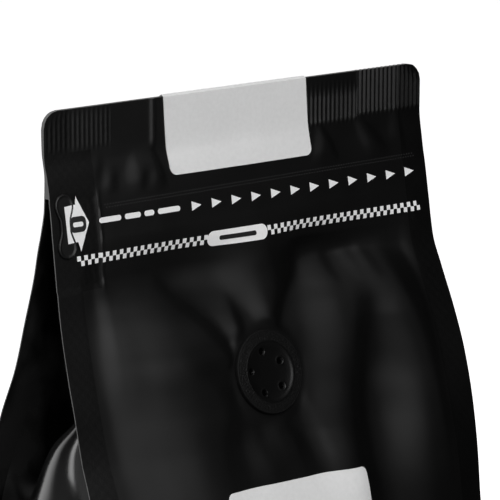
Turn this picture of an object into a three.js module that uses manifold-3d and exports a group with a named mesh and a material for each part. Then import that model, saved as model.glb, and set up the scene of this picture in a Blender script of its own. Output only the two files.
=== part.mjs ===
// Flat-bottomed coffee pouch with side gussets, standing shut and full.
// Millimetres, +Z up. The front panel faces -Y, and +X is to its right.
// The origin is on the floor, in the middle of the pouch.
import * as THREE from "three";
import Module from "manifold-3d";

// --- Sizes of the pouch -------------------------------------------------
const HEIGHT = 210;
const WIDTH = 127; // over the side seals
const DEPTH = 74; // of the flat base
const SEAL = 8; // width of the four upright corner seals
const FILM = 0.45; // thickness of a corner seal
const CORNER = 4.5; // radius of the two top corners
const TOP_SEAL = 18; // above this drop the four layers are welded together
const BASE_ROUND = 1.6; // rounding of the edge of the base
const BASE_SEAL = 5; // height of the seal along the front and back of the base
const CLEARANCE = 0.35; // gap between the pouch and what is stuck on it

// --- Sizes of what is stuck on it ------------------------------------------
const VALVE = { x: -1.8, drop: 73.0, radius: 11.2, inner: 8.2, height: 1.3, holes: 5, holeRadius: 0.6, holeRing: 6.2 };
const TOP_LABEL = { left: -25.5, right: 22.1, drop: 20.7, backDrop: 20.7, thickness: 0.25, corner: 2 };
const FRONT_LABEL = { left: -24.8, right: 23.3, top: 99.8, bottom: 166, thickness: 0.25, corner: 2 };
const TAB = { x: -59.3, drop: 29.0, length: 17, lobe: 3.7, thickness: 0.6 };

const HALF = WIDTH / 2;

// A smooth curve through [drop, value] pairs that never overshoots them.
function curve(points) {
  const x = points.map((p) => p[0]);
  const y = points.map((p) => p[1]);
  const slope = x.slice(1).map((xi, i) => (y[i + 1] - y[i]) / (xi - x[i]));
  const tangent = x.map((_, i) => {
    if (i === 0) return slope[0];
    if (i === x.length - 1) return slope[i - 1];
    const [a, b] = [slope[i - 1], slope[i]];
    return a * b > 0 ? (2 * a * b) / (a + b) : 0;
  });
  return (t) => {
    const c = Math.min(Math.max(t, x[0]), x[x.length - 1]);
    let i = x.findIndex((xi) => xi > c) - 1;
    if (i < 0) i = x.length - 2;
    const h = x[i + 1] - x[i];
    const s = (c - x[i]) / h;
    const [p, q] = [s * s * (3 - 2 * s), s * (1 - s)];
    return y[i] * (1 - p) + y[i + 1] * p + h * (tangent[i] * q * (1 - s) - tangent[i + 1] * q * s);
  };
}

// How far each upright edge stands from the middle plane, by drop below the top.
const frontLeft = curve([
  [0, 0.6], [10, 0.8], [13.2, 1.1], [16.9, 2.2], [25.4, 3.9], [31.7, 4.8], [41.5, 6.2], [52.3, 7.8],
  [66.9, 11.2], [75.8, 13.8], [88.4, 17.2], [95.4, 19.9], [115, 26], [140, 32.5], [165, 36], [190, 37], [210, 37],
]);
const frontRight = curve([
  [0, 0.6], [12, 0.7], [20, 1.8], [27.1, 3.4], [39.1, 5.7], [46.3, 7.2], [53.5, 10.6], [64.7, 16.2],
  [75, 20.5], [88.1, 24.2], [101.4, 26.6], [115.1, 28.2], [135, 31.5], [160, 35.6], [190, 37], [210, 37],
]);
const backLeft = curve([
  [0, 0.6], [10, 0.2], [17.1, -1], [24.6, -0.8], [30.5, 0.3], [36.4, 1.9], [43.1, 3.4], [55, 7.1],
  [68.1, 11.2], [81.5, 17.3], [105.7, 25.9], [125, 30.5], [150, 34.8], [175, 36.7], [195, 37], [210, 37],
]);
const backRight = curve([
  [0, 0.6], [12, 0.3], [20, -0.4], [27, 0], [39, 3], [46, 5], [53.5, 8], [64.7, 12.5],
  [75, 16.5], [88, 21], [101, 25], [115, 28.2], [135, 32], [160, 35.8], [190, 37], [210, 37],
]);
// How far the middle of each big panel bellies out beyond its edges.
const belly = curve([
  [0, 0], [60, 0], [75, 0.3], [88, 2], [100, 3.8], [120, 5.5], [145, 6.5], [170, 6], [190, 4], [205, 1.2], [210, 0.4],
]);

// The broad folds of the front panel: from (x, drop) to (x, drop), half-width and height.
const FRONT_FOLDS = [
  { from: [-47, 50], to: [-50, 150], half: 7.5, height: 1.7 },
  { from: [-30, 46], to: [-10, 69], half: 3.2, height: -1.6 },
  { from: [-17, 52], to: [-8, 66], half: 3, height: 1.1 },
  { from: [14, 42], to: [3, 63], half: 5, height: -1.5 },
  { from: [0, 40], to: [-1, 60], half: 3.5, height: 1.1 },
  { from: [26, 46], to: [12, 86], half: 5.5, height: 1.3 },
  { from: [34, 54], to: [20, 112], half: 3.6, height: -1.9 },
  { from: [42, 58], to: [34, 116], half: 6, height: 1.4 },
  { from: [-24, 69], to: [-15, 104], half: 4, height: -1.4 },
  { from: [51, 92], to: [50, 150], half: 3, height: -1.1 },
];
const BACK_FOLDS = [
  { from: [-30, 52], to: [-22, 120], half: 6, height: -1.6 },
  { from: [-44, 60], to: [-42, 140], half: 6, height: 1.2 },
  { from: [10, 46], to: [2, 96], half: 6, height: -1.4 },
  { from: [26, 50], to: [22, 130], half: 6.5, height: 1.4 },
  { from: [44, 60], to: [40, 120], half: 4, height: -1.2 },
];

function smooth(t) {
  const c = Math.min(Math.max(t, 0), 1);
  return c * c * (3 - 2 * c);
}

// The height of a set of folds at a point; each one tapers to nothing at its two ends.
function folds(list, x, drop) {
  let sum = 0;
  for (const { from, to, half, height } of list) {
    const [dx, dd] = [to[0] - from[0], to[1] - from[1]];
    const length = Math.hypot(dx, dd);
    const along = ((x - from[0]) * dx + (drop - from[1]) * dd) / length;
    const off = ((x - from[0]) * dd - (drop - from[1]) * dx) / length;
    const taper = smooth((along + 6) / 16) * smooth((length + 6 - along) / 16);
    sum += height * taper * Math.exp(-((off / half) ** 2));
  }
  return sum;
}

// Folds die out beside the upright seals and around the valve, which keeps its film flat.
function calm(x, drop) {
  const edge = smooth((HALF - SEAL + 1 - Math.abs(x)) / 10);
  const valve = smooth((Math.hypot(x - VALVE.x, drop - VALVE.drop) - VALVE.radius - 3) / 8);
  return edge * valve;
}

function bare(x, drop) {
  const s = (x + HALF) / WIDTH;
  return frontLeft(drop) * (1 - s) + frontRight(drop) * s + belly(drop) * (1 - (x / HALF) ** 4);
}

// The plane of the valve's seat: its distance forward and its two slopes.
const SEAT = {
  out: bare(VALVE.x, VALVE.drop),
  slopeX: bare(VALVE.x + 0.5, VALVE.drop) - bare(VALVE.x - 0.5, VALVE.drop),
  slopeDrop: bare(VALVE.x, VALVE.drop + 0.5) - bare(VALVE.x, VALVE.drop - 0.5),
};

// Distance of the front panel's outer face in front of the middle plane.
function front(x, drop) {
  const r = Math.hypot(x - VALVE.x, drop - VALVE.drop);
  const seat = 1 - smooth((r - VALVE.radius - 4) / 8);
  const plane = SEAT.out + SEAT.slopeX * (x - VALVE.x) + SEAT.slopeDrop * (drop - VALVE.drop);
  const free = bare(x, drop) + folds(FRONT_FOLDS, x, drop) * calm(x, drop);
  return free * (1 - seat) + plane * seat;
}

// Distance of the back panel's outer face behind the middle plane.
function back(x, drop) {
  const s = (x + HALF) / WIDTH;
  const edge = smooth((HALF - SEAL + 1 - Math.abs(x)) / 10);
  const out = backLeft(drop) * (1 - s) + backRight(drop) * s + belly(drop) * (1 - (x / HALF) ** 4);
  return out + folds(BACK_FOLDS, x, drop) * edge;
}

// How far the side gusset folds in behind its seals at a drop; negative is a bulge outwards.
const sideBulge = curve([[0, 0], [120, 0], [145, 1.5], [165, 4.2], [190, 3.6], [205, 1.6], [210, 1]]);
function tuck(half, drop) {
  const inward = Math.sqrt(Math.max((DEPTH / 2) ** 2 - half ** 2, 0));
  return inward * (1 - smooth((drop - 120) / 45)) - sideBulge(drop);
}

// --- The pouch's skin as level loops, joined from the top down ----------------
const PANEL_COLUMNS = 30;
const GUSSET_STEPS = 4;
const SLOT_TOP = 23; // drop at which the gusset's fold begins to open
const UPPER_LEVELS = [0, 0.5, 1.6, CORNER, 10, 14, TOP_SEAL, SLOT_TOP];
const LOWER_LEVELS = [
  SLOT_TOP, 29, 36, 43, 50, 56, 62, 68, 74, 80, 86, 93, 100, 107, 115, 124, 134, 145, 157, 170, 184, 197,
];
const LEVELS = [...UPPER_LEVELS, ...LOWER_LEVELS.slice(1)];

// Columns across a panel: close together at the seals, even between them.
function columns(halfWidth) {
  const inner = HALF - SEAL;
  const seal = [halfWidth, (halfWidth + inner) / 2];
  const spans = PANEL_COLUMNS - 4;
  const between = Array.from({ length: spans + 1 }, (_, i) => inner * ((2 * i) / spans - 1));
  return [...seal.map((x) => -x), ...between, ...seal.reverse()];
}

// The front or back face as it is meshed: flat between neighbouring columns and levels.
function facet(face, x, drop) {
  const across = columns(HALF);
  const c = Math.max(across.findIndex((xi) => xi > x) - 1, 0);
  const r = Math.max(LEVELS.findIndex((d) => d > drop) - 1, 0);
  const [x0, x1, d0, d1] = [across[c], across[c + 1], LEVELS[r], LEVELS[r + 1]];
  const [s, t] = [(x - x0) / (x1 - x0), (drop - d0) / (d1 - d0)];
  const [a, b, d, e] = [face(x0, d0), face(x1, d0), face(x1, d1), face(x0, d1)];
  return t >= s ? a + t * (e - a) + s * (d - e) : a + s * (b - a) + t * (d - b);
}

// Half the width at a drop, less at the rounded top corners.
function halfWidthAt(drop) {
  if (drop >= CORNER) return HALF;
  return HALF - CORNER + Math.sqrt(CORNER ** 2 - (CORNER - drop) ** 2);
}

// The wall of one gusset, from its front seal to its back seal, without the end points.
function gussetPath(side, drop, inset) {
  const root = side * (HALF - SEAL);
  const skin = inset + FILM;
  const [fy, by] = [-front(root, drop) + skin, back(root, drop) - skin];
  const half = (by - fy) / 2 + skin;
  const middle = (by + fy) / 2;
  const depth = tuck(half, drop);
  const path = [];
  for (let i = 0; i <= 2 * GUSSET_STEPS; i += 1) {
    const u = i / GUSSET_STEPS - 1; // -1 at the front seal, 0 at the fold, 1 at the back seal
    const straight = 1 - Math.abs(u);
    const round = 1 - u * u;
    const open = smooth((drop - 110) / 50);
    const inward = depth * (straight * (1 - open) + round * open);
    const x = root - side * (inward + (1 - u ** 8) * inset);
    let y = middle + u * (by - middle);
    if (u < 0) y = Math.max(y, -front(x, drop) + skin);
    if (u > 0) y = Math.min(y, back(x, drop) - skin);
    path.push([x, y]);
  }
  return path;
}

// One loop of the pouch, counter-clockwise from above, at a drop and drawn in by an amount.
function loop(drop, slotted, inset = 0) {
  const w = halfWidthAt(drop) - inset;
  const xs = columns(w);
  const points = xs.map((x) => [x, -front(x, drop) + inset]);
  const thin = Math.min(FILM, (front(w, drop) + back(w, drop)) * 0.3);
  points.push([w, -front(w, drop) + inset + thin]);
  if (slotted) points.push(...gussetPath(1, drop, inset));
  points.push([w, back(w, drop) - inset - thin]);
  for (const x of [...xs].reverse()) points.push([x, back(x, drop) - inset]);
  const thinLeft = Math.min(FILM, (front(-w, drop) + back(-w, drop)) * 0.3);
  points.push([-w, back(-w, drop) - inset - thinLeft]);
  if (slotted) points.push(...gussetPath(-1, drop, inset).reverse());
  points.push([-w, -front(-w, drop) + inset + thinLeft]);
  return points;
}

// A triangle mesh that gathers points and faces.
class Skin {
  constructor() {
    this.points = [];
    this.faces = [];
  }

  ring(points, z) {
    return points.map(([x, y]) => this.points.push([x, y, z]) - 1);
  }

  // Walls between an upper and a lower ring with the same count of points.
  join(upper, lower) {
    upper.forEach((a, i) => {
      const j = (i + 1) % upper.length;
      this.faces.push([a, lower[i], lower[j]], [a, lower[j], upper[j]]);
    });
  }

  // The narrow top edge: a strip between the front points and the back points of a plain ring.
  crown(ring, count) {
    const [front0, back0] = [0, 2 * count + 1];
    for (let i = 1; i < count - 1; i += 1) {
      const [a, b, c, d] = [ring[i], ring[i + 1], ring[back0 - i - 1], ring[back0 - i]];
      if (i < count - 2) this.faces.push([a, b, c], [a, c, d]);
    }
    const fan = (hub, outline) => {
      for (let i = 0; i + 1 < outline.length; i += 1) this.faces.push([hub, outline[i], outline[i + 1]]);
    };
    const last = ring.length - 1;
    fan(ring[1], [ring[back0 - 1], ring[back0], ring[last - 1], ring[last], ring[front0]]);
    const end = count - 1;
    fan(ring[end - 1], [ring[end], ring[end + 1], ring[end + 2], ring[end + 3], ring[end + 4]]);
  }

  // A flat lid over a ring, facing up or down.
  lid(ring, facesUp) {
    const flat = ring.map((i) => new THREE.Vector2(this.points[i][0], this.points[i][1]));
    for (const [a, b, c] of THREE.ShapeUtils.triangulateShape(flat, [])) {
      const face = [ring[a], ring[b], ring[c]];
      this.faces.push(facesUp ? face : face.reverse());
    }
  }

  geometry() {
    const made = new THREE.BufferGeometry();
    made.setAttribute("position", new THREE.Float32BufferAttribute(this.points.flat(), 3));
    made.setIndex(this.faces.flat());
    made.computeVertexNormals();
    return made;
  }
}

function pouchGeometry() {
  const skin = new Skin();
  const upper = UPPER_LEVELS.map((d) => skin.ring(loop(d, false), HEIGHT - d));
  for (let i = 1; i < upper.length; i += 1) skin.join(upper[i - 1], upper[i]);
  skin.crown(upper[0], PANEL_COLUMNS + 1);
  // The lowest plain ring and the first slotted ring share their outer points.
  const start = upper[upper.length - 1];
  const count = PANEL_COLUMNS + 1;
  const [right, left] = [1, -1].map((s) =>
    gussetPath(s, SLOT_TOP, 0).map(([x, y]) => skin.points.push([x, y, HEIGHT - SLOT_TOP]) - 1));
  const first = [
    ...start.slice(0, count + 1), ...right, ...start.slice(count + 1, 2 * count + 3),
    ...[...left].reverse(), start[2 * count + 3],
  ];
  // The ceilings of the two slots: strips between the front half and the back half of the fold.
  const ceiling = (path, frontEdge, backEdge, flip) => {
    const closed = [frontEdge, ...path, backEdge];
    for (let i = 0, j = closed.length - 1; i < j - 1; i += 1, j -= 1) {
      const quads = [[closed[i], closed[j], closed[i + 1]], [closed[i + 1], closed[j], closed[j - 1]]];
      for (const q of quads) {
        if (new Set(q).size === 3) skin.faces.push(flip ? q.reverse() : q);
      }
    }
  };
  ceiling(right, start[count], start[count + 1], true);
  ceiling(left, start[2 * count + 3], start[2 * count + 2], false);
  let above = first;
  const below = LOWER_LEVELS.slice(1).map((d) => [d, 0]);
  below.push([HEIGHT - BASE_SEAL, 0], [HEIGHT - BASE_ROUND, 0], [HEIGHT - 0.5, 0.45], [HEIGHT, BASE_ROUND]);
  for (const [drop, inset] of below) {
    const ring = skin.ring(loop(drop, true, inset), HEIGHT - drop);
    skin.join(above, ring);
    above = ring;
  }
  skin.lid(above, false);
  return skin.geometry();
}

// A thin sheet over a grid of points, given its outer and its inner face as functions.
function sheetGeometry(across, along, outer, inner) {
  const skin = new Skin();
  const grid = (face) => along.map((t) => across.map((s) => skin.points.push(face(s, t)) - 1));
  const [top, under] = [grid(outer), grid(inner)];
  const [rows, cols] = [along.length - 1, across.length - 1];
  for (let r = 0; r < rows; r += 1) {
    for (let c = 0; c < cols; c += 1) {
      const [a, b, d, e] = [top[r][c], top[r][c + 1], top[r + 1][c + 1], top[r + 1][c]];
      skin.faces.push([a, e, d], [a, d, b]);
      const [f, g, h, k] = [under[r][c], under[r][c + 1], under[r + 1][c + 1], under[r + 1][c]];
      skin.faces.push([f, h, k], [f, g, h]);
    }
  }
  const rim = (grid2) => [
    ...grid2[0].slice(0, cols), ...grid2.slice(0, rows).map((row) => row[cols]),
    ...grid2[rows].slice(1).reverse(), ...grid2.slice(1).reverse().map((row) => row[0]),
  ];
  skin.join(rim(under), rim(top));
  return skin.geometry();
}

// Points from a to b: the corner radius at both ends, and every line of the pouch's mesh between.
function steps(a, b, lines, corner) {
  const inside = lines.filter((v) => v > a + corner + 0.3 && v < b - corner - 0.3);
  return [a, a + corner * 0.3, a + corner, ...inside, b - corner, b - corner * 0.3, b];
}

// Draws a point of the label's outline in at its rounded corners.
function roundedAcross(s, left, right, fromEnd, corner) {
  const drawIn = fromEnd >= corner ? 0 : corner - Math.sqrt(Math.max(corner ** 2 - (corner - fromEnd) ** 2, 0));
  const middle = (left + right) / 2;
  return middle + ((s - middle) * (right - left - 2 * drawIn)) / (right - left);
}

function frontLabelGeometry() {
  const { left, right, top, bottom, thickness, corner } = FRONT_LABEL;
  const place = (gap) => (s, drop) => {
    const x = roundedAcross(s, left, right, Math.min(drop - top, bottom - drop), corner);
    return [x, -facet(front, x, drop) - gap, HEIGHT - drop];
  };
  const [across, along] = [steps(left, right, columns(HALF), corner), steps(top, bottom, LEVELS, corner)];
  return sheetGeometry(across, along, place(CLEARANCE + thickness), place(CLEARANCE));
}

// The top label runs down the back, over the top edge and down the front.
function topLabelGeometry() {
  const { left, right, drop: frontDrop, backDrop, thickness, corner } = TOP_LABEL;
  const half = front(0, 0);
  const bend = 5;
  const lines = LEVELS.filter((d) => d > CORNER && d < backDrop - corner);
  const down = (drop) => [...lines, drop - corner, drop - corner * 0.3, drop];
  // A station is -1..0 on the back, 0..1 over the edge, 1..2 on the front.
  const stations = [
    ...down(backDrop).reverse().map((d) => -d / backDrop), 0,
    ...Array.from({ length: bend }, (_, i) => (i + 1) / (bend + 1)),
    1, ...down(frontDrop).map((d) => 1 + d / frontDrop),
  ];
  const place = (gap) => (s, t) => {
    const drop = t < 0 ? -t * backDrop : Math.max(t - 1, 0) * frontDrop;
    const end = t < 0 ? (1 + t) * backDrop : (2 - t) * frontDrop;
    const x = roundedAcross(s, left, right, t > 0 && t < 1 ? corner : end, corner);
    if (t <= 0) return [x, facet(back, x, drop) + gap, HEIGHT - drop];
    if (t >= 1) return [x, -facet(front, x, drop) - gap, HEIGHT - drop];
    const angle = t * Math.PI;
    return [x, (half + gap) * Math.cos(angle), HEIGHT + gap * Math.sin(angle)];
  };
  const across = steps(left, right, columns(HALF), corner);
  return sheetGeometry(across, stations, place(CLEARANCE + thickness), place(CLEARANCE));
}

// A dished disc with a raised rim and a ring of pinholes sunk into it; its axis is +Z.
function valveGeometry(manifold) {
  const { radius, inner, height } = VALVE;
  const profile = [
    [0, 0], [radius - 0.4, 0], [radius, 0.4], [radius, height - 0.3], [radius - 0.3, height],
    [radius - 0.8, height], [radius - 1.1, height - 0.25], [inner + 0.5, height - 0.35],
    [inner, height - 0.7], [inner - 0.6, 0.75], [inner * 0.5, 0.65], [0, 0.6],
  ].map(([r, z]) => new THREE.Vector2(r, z));
  const lathe = new THREE.LatheGeometry(profile, 40);
  lathe.rotateX(Math.PI / 2);
  const body = solid(manifold, lathe);
  let cut = body;
  for (let i = 0; i < VALVE.holes; i += 1) {
    const angle = THREE.MathUtils.degToRad(32 + (360 / VALVE.holes) * i);
    const pin = manifold.Manifold.cylinder(1, VALVE.holeRadius, VALVE.holeRadius, 10)
      .translate([VALVE.holeRing * Math.cos(angle), VALVE.holeRing * Math.sin(angle), 0.25]);
    cut = cut.subtract(pin);
  }
  return geometry(cut);
}

// A three.js geometry as a manifold solid, and back.
function solid(manifold, made) {
  const plain = new THREE.BufferGeometry().setAttribute("position", made.toNonIndexed().getAttribute("position"));
  const keys = new Map();
  const points = [];
  const corners = [];
  const position = plain.getAttribute("position");
  for (let i = 0; i < position.count; i += 1) {
    const p = [position.getX(i), position.getY(i), position.getZ(i)];
    const key = p.map((c) => Math.round(c * 1e4)).join();
    if (!keys.has(key)) keys.set(key, points.push(p) - 1);
    corners.push(keys.get(key));
  }
  const faces = [];
  for (let i = 0; i < corners.length; i += 3) {
    const face = corners.slice(i, i + 3);
    if (new Set(face).size === 3) faces.push(...face);
  }
  const mesh = new manifold.Mesh({
    numProp: 3,
    vertProperties: new Float32Array(points.flat()),
    triVerts: new Uint32Array(faces),
  });
  return new manifold.Manifold(mesh);
}

function geometry(made) {
  const mesh = made.getMesh();
  const result = new THREE.BufferGeometry();
  result.setAttribute("position", new THREE.Float32BufferAttribute(mesh.vertProperties, 3));
  result.setIndex(new THREE.Uint32BufferAttribute(mesh.triVerts, 1));
  result.computeVertexNormals();
  return result;
}

// The pull tab: two round lobes, one above the other, with a waist between them.
function tabGeometry() {
  const { length, lobe, thickness } = TAB;
  const offset = length / 2 - lobe;
  const waist = lobe * 0.62;
  const outline = [];
  const turns = 14;
  for (const end of [1, -1]) {
    for (let i = 0; i <= turns; i += 1) {
      const angle = (end > 0 ? -0.2 : Math.PI - 0.2) + ((Math.PI + 0.4) * i) / turns;
      outline.push(new THREE.Vector2(lobe * Math.cos(angle), end * offset + lobe * Math.sin(angle)));
    }
    outline.push(new THREE.Vector2(-end * waist, 0));
  }
  const made = new THREE.ExtrudeGeometry(new THREE.Shape(outline), { depth: thickness, bevelEnabled: false });
  return made;
}

// Turns a flat piece to face out of the front panel at a point, standing off it by a gap.
function lay(mesh, x, drop, gap) {
  const slopeX = (front(x + 1, drop) - front(x - 1, drop)) / 2;
  const slopeDrop = (front(x, drop + 1) - front(x, drop - 1)) / 2;
  const out = new THREE.Vector3(-slopeX, -1, slopeDrop).normalize();
  const right = new THREE.Vector3(1, -slopeX, 0).normalize();
  const up = new THREE.Vector3().crossVectors(out, right);
  mesh.quaternion.setFromRotationMatrix(new THREE.Matrix4().makeBasis(right, up, out));
  mesh.position.set(x, -front(x, drop), HEIGHT - drop).addScaledVector(out, gap);
  return mesh;
}

const FINISH = {
  film: new THREE.MeshStandardMaterial({ color: "#131313", roughness: 0.5, metalness: 0 }),
  moulded: new THREE.MeshStandardMaterial({ color: "#101010", roughness: 0.4, metalness: 0 }),
  paper: new THREE.MeshStandardMaterial({ color: "#c4c4c4", roughness: 0.85, metalness: 0 }),
};

function named(name, shape, finish) {
  const mesh = new THREE.Mesh(shape, finish);
  mesh.name = name;
  return mesh;
}

const manifold = await Module();
manifold.setup();

const bag = new THREE.Group();
bag.name = "coffee_bag";
bag.add(named("pouch", pouchGeometry(), FINISH.film));
bag.add(lay(named("valve", valveGeometry(manifold), FINISH.moulded), VALVE.x, VALVE.drop, CLEARANCE));
bag.add(named("top_label", topLabelGeometry(), FINISH.paper));
bag.add(named("front_label", frontLabelGeometry(), FINISH.paper));
bag.add(lay(named("pull_tab", tabGeometry(), FINISH.film), TAB.x, TAB.drop, CLEARANCE));

export default bag;
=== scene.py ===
"""Looks of a flat-bottomed coffee pouch: matt film, ribbed top seal, valve, labels, pull tab and print.

Sizes are in millimetres from the middle of the pouch (across) and down from its top edge (drop).
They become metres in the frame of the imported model, +Z up, with the front panel facing -Y.
"""
import logging
import math
from dataclasses import dataclass, field
from enum import Enum
from functools import cached_property
from typing import Callable, ClassVar, Iterable, Sequence

import bmesh
import bpy
import numpy as np
from mathutils import Matrix, Vector


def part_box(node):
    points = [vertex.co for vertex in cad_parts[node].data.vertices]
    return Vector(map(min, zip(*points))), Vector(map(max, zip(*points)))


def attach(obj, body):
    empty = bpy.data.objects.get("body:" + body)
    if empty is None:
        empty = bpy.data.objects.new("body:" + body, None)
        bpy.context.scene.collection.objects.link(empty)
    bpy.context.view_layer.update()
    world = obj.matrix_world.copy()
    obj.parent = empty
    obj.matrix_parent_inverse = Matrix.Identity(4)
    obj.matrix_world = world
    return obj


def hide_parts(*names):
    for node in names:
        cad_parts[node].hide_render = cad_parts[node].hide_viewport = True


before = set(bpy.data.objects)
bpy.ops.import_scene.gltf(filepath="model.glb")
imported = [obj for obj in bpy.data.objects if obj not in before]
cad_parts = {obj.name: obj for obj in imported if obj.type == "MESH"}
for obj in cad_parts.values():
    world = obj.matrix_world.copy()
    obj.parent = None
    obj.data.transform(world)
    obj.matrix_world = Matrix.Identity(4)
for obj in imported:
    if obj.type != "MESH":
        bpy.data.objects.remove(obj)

LOG = logging.getLogger("coffee_pouch")
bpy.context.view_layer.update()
MM = 0.001

Point = tuple[float, float]
Box = tuple[float, float, float, float]
Station = tuple[float, float, float, float]
Places = np.ndarray
Socket = bpy.types.NodeSocket

RIPPLE_WAVES = 9
RIPPLE_TALLEST = 5.0


# ---------------------------------------------------------------- places in the frame


@dataclass(frozen=True)
class Span:
    """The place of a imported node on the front: its edges across, and its top and bottom as drops."""

    left: float
    right: float
    top: float
    bottom: float


def span_of(node: str) -> Span:
    """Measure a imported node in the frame.

    Args:
        node: Name of the node.

    Returns:
        Its place in millimetres, to the nearest hundredth.
    """
    low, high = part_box(node)
    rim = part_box("pouch")[1][2]
    edges = (low[0], high[0], rim - high[2], rim - low[2])
    return Span(*(round(edge / MM, 2) for edge in edges))


BAG_SPAN = span_of("pouch")
LABEL_SPAN = span_of("front_label")


# ---------------------------------------------------------------- curves and small maths


def smooth(t: Places | float) -> Places:
    """Ease a ramp from 0 to 1 so that it starts and ends level.

    Args:
        t: Position on the ramp; it is held between 0 and 1.

    Returns:
        The eased value.
    """
    c = np.clip(t, 0.0, 1.0)
    return c * c * (3.0 - 2.0 * c)


class Curve:
    """A smooth curve through points that never overshoots them."""

    def __init__(self, points: Sequence[Point]) -> None:
        """Store the points and work out the slope at each.

        Args:
            points: Pairs of drop and value, with rising drops.
        """
        self.x = np.array([p[0] for p in points], float)
        self.y = np.array([p[1] for p in points], float)
        run = np.diff(self.x)
        rise = np.diff(self.y) / run
        slope = np.zeros_like(self.x)
        slope[0], slope[-1] = rise[0], rise[-1]
        for i in range(1, len(self.x) - 1):
            a, b = rise[i - 1], rise[i]
            slope[i] = 2.0 * a * b / (a + b) if a * b > 0 else 0.0
        self.slope = slope

    def __call__(self, t: Places | float) -> Places:
        """Read the curve; past its ends it keeps its last value.

        Args:
            t: Drops to read it at.

        Returns:
            The value at each drop.
        """
        t = np.clip(np.asarray(t, float), self.x[0], self.x[-1])
        i = np.clip(np.searchsorted(self.x, t, side="right") - 1, 0, len(self.x) - 2)
        h = self.x[i + 1] - self.x[i]
        s = (t - self.x[i]) / h
        p, q = s * s * (3 - 2 * s), s * (1 - s)
        bend = self.slope[i] * q * (1 - s) - self.slope[i + 1] * q * s
        return self.y[i] * (1 - p) + self.y[i + 1] * p + h * bend


def hump(t: Places, middle: Places | float, half: float) -> Places:
    """Make a smooth hump of height 1.

    Args:
        t: Places to read it at.
        middle: Where it is highest.
        half: Distance at which it has sunk to about a third.

    Returns:
        The hump's height at each place.
    """
    return np.exp(-(((t - middle) / half) ** 2))


def ripple(across: Places, drop: Places, size: float, seed: int) -> Places:
    """Make soft irregular waves, always the same for the same seed.

    Args:
        across: Places across the panel.
        drop: Places down the panel.
        size: Rough length of a wave.
        seed: Picks the set of waves.

    Returns:
        Heights between about -1 and 1.
    """
    chance = np.random.default_rng(seed)
    total = np.zeros(np.broadcast(across, drop).shape)
    for _ in range(RIPPLE_WAVES):
        turn, phase = chance.uniform(0, math.tau, 2)
        pitch = math.tau / (size * chance.uniform(0.7, 1.6))
        total = total + np.sin(pitch * (across * math.cos(turn) + drop * math.sin(turn)) + phase)
    return total / RIPPLE_TALLEST


# ---------------------------------------------------------------- the shape of the pouch


@dataclass(frozen=True)
class Flank:
    """One side of a fold: a step in the film that lies along a line down the panel.

    Each station holds a drop, the line's place across, half the step's width and its slope.
    A positive slope rises to the right and a negative one falls.
    """

    stations: tuple[Station, ...]

    straight: ClassVar[float] = 0.9
    rounded: ClassVar[float] = 0.38
    end_ease: ClassVar[Point] = (3.0, 1.2)
    side_ease: ClassVar[Point] = (7.0, 2.2)

    @cached_property
    def curves(self) -> tuple[Curve, Curve, Curve]:
        """The line, the half width and the slope as smooth curves of the drop."""
        return tuple(Curve([(s[0], s[i]) for s in self.stations]) for i in (1, 2, 3))

    def fade(self, drop: Places) -> Places:
        """Ease the step in at its first station and out at its last.

        Args:
            drop: Places down the panel.

        Returns:
            Shares from 0 to 1.
        """
        (first, last), (least, grow) = (self.stations[0], self.stations[-1]), self.end_ease
        start, end = least + grow * first[2], least + grow * last[2]
        return smooth((drop - first[0] + 0.6 * start) / start) * smooth((last[0] + 0.6 * end - drop) / end)

    def height(self, across: Places, drop: Places) -> Places:
        """Lift the film to the step's right and lower it to its left, dying away on both sides.

        Args:
            across: Places across the panel.
            drop: Places down the panel.

        Returns:
            Heights, forward positive.
        """
        fade = self.fade(drop)
        if not np.any(fade):
            return np.zeros(np.broadcast(across, drop).shape)
        line, half, steep = (curve(drop) for curve in self.curves)
        off, reach, soft = across - line, self.straight * half, self.rounded * half
        near = hump(off, 0.0, self.side_ease[0] + self.side_ease[1] * half)
        return steep * fade * near * 0.5 * (np.hypot(off + reach, soft) - np.hypot(off - reach, soft))


def folded(flanks: Sequence[Flank], across: Places, drop: Places, holds: Sequence[float]) -> Places:
    """Add flanks up and level them, so that the film keeps its plain height at a few places across.

    Args:
        flanks: The flanks.
        across: Places across the panel.
        drop: Places down the panel.
        holds: Places across where the folds add nothing.

    Returns:
        Heights, forward positive.
    """
    total = sum(f.height(across, drop) for f in flanks)
    inner = np.clip(across, holds[0], holds[-1])
    for hold in holds:
        share = np.prod([(inner - other) / (hold - other) for other in holds if other != hold], axis=0)
        total = total - share * sum(f.height(hold, drop) for f in flanks)
    return total


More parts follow.
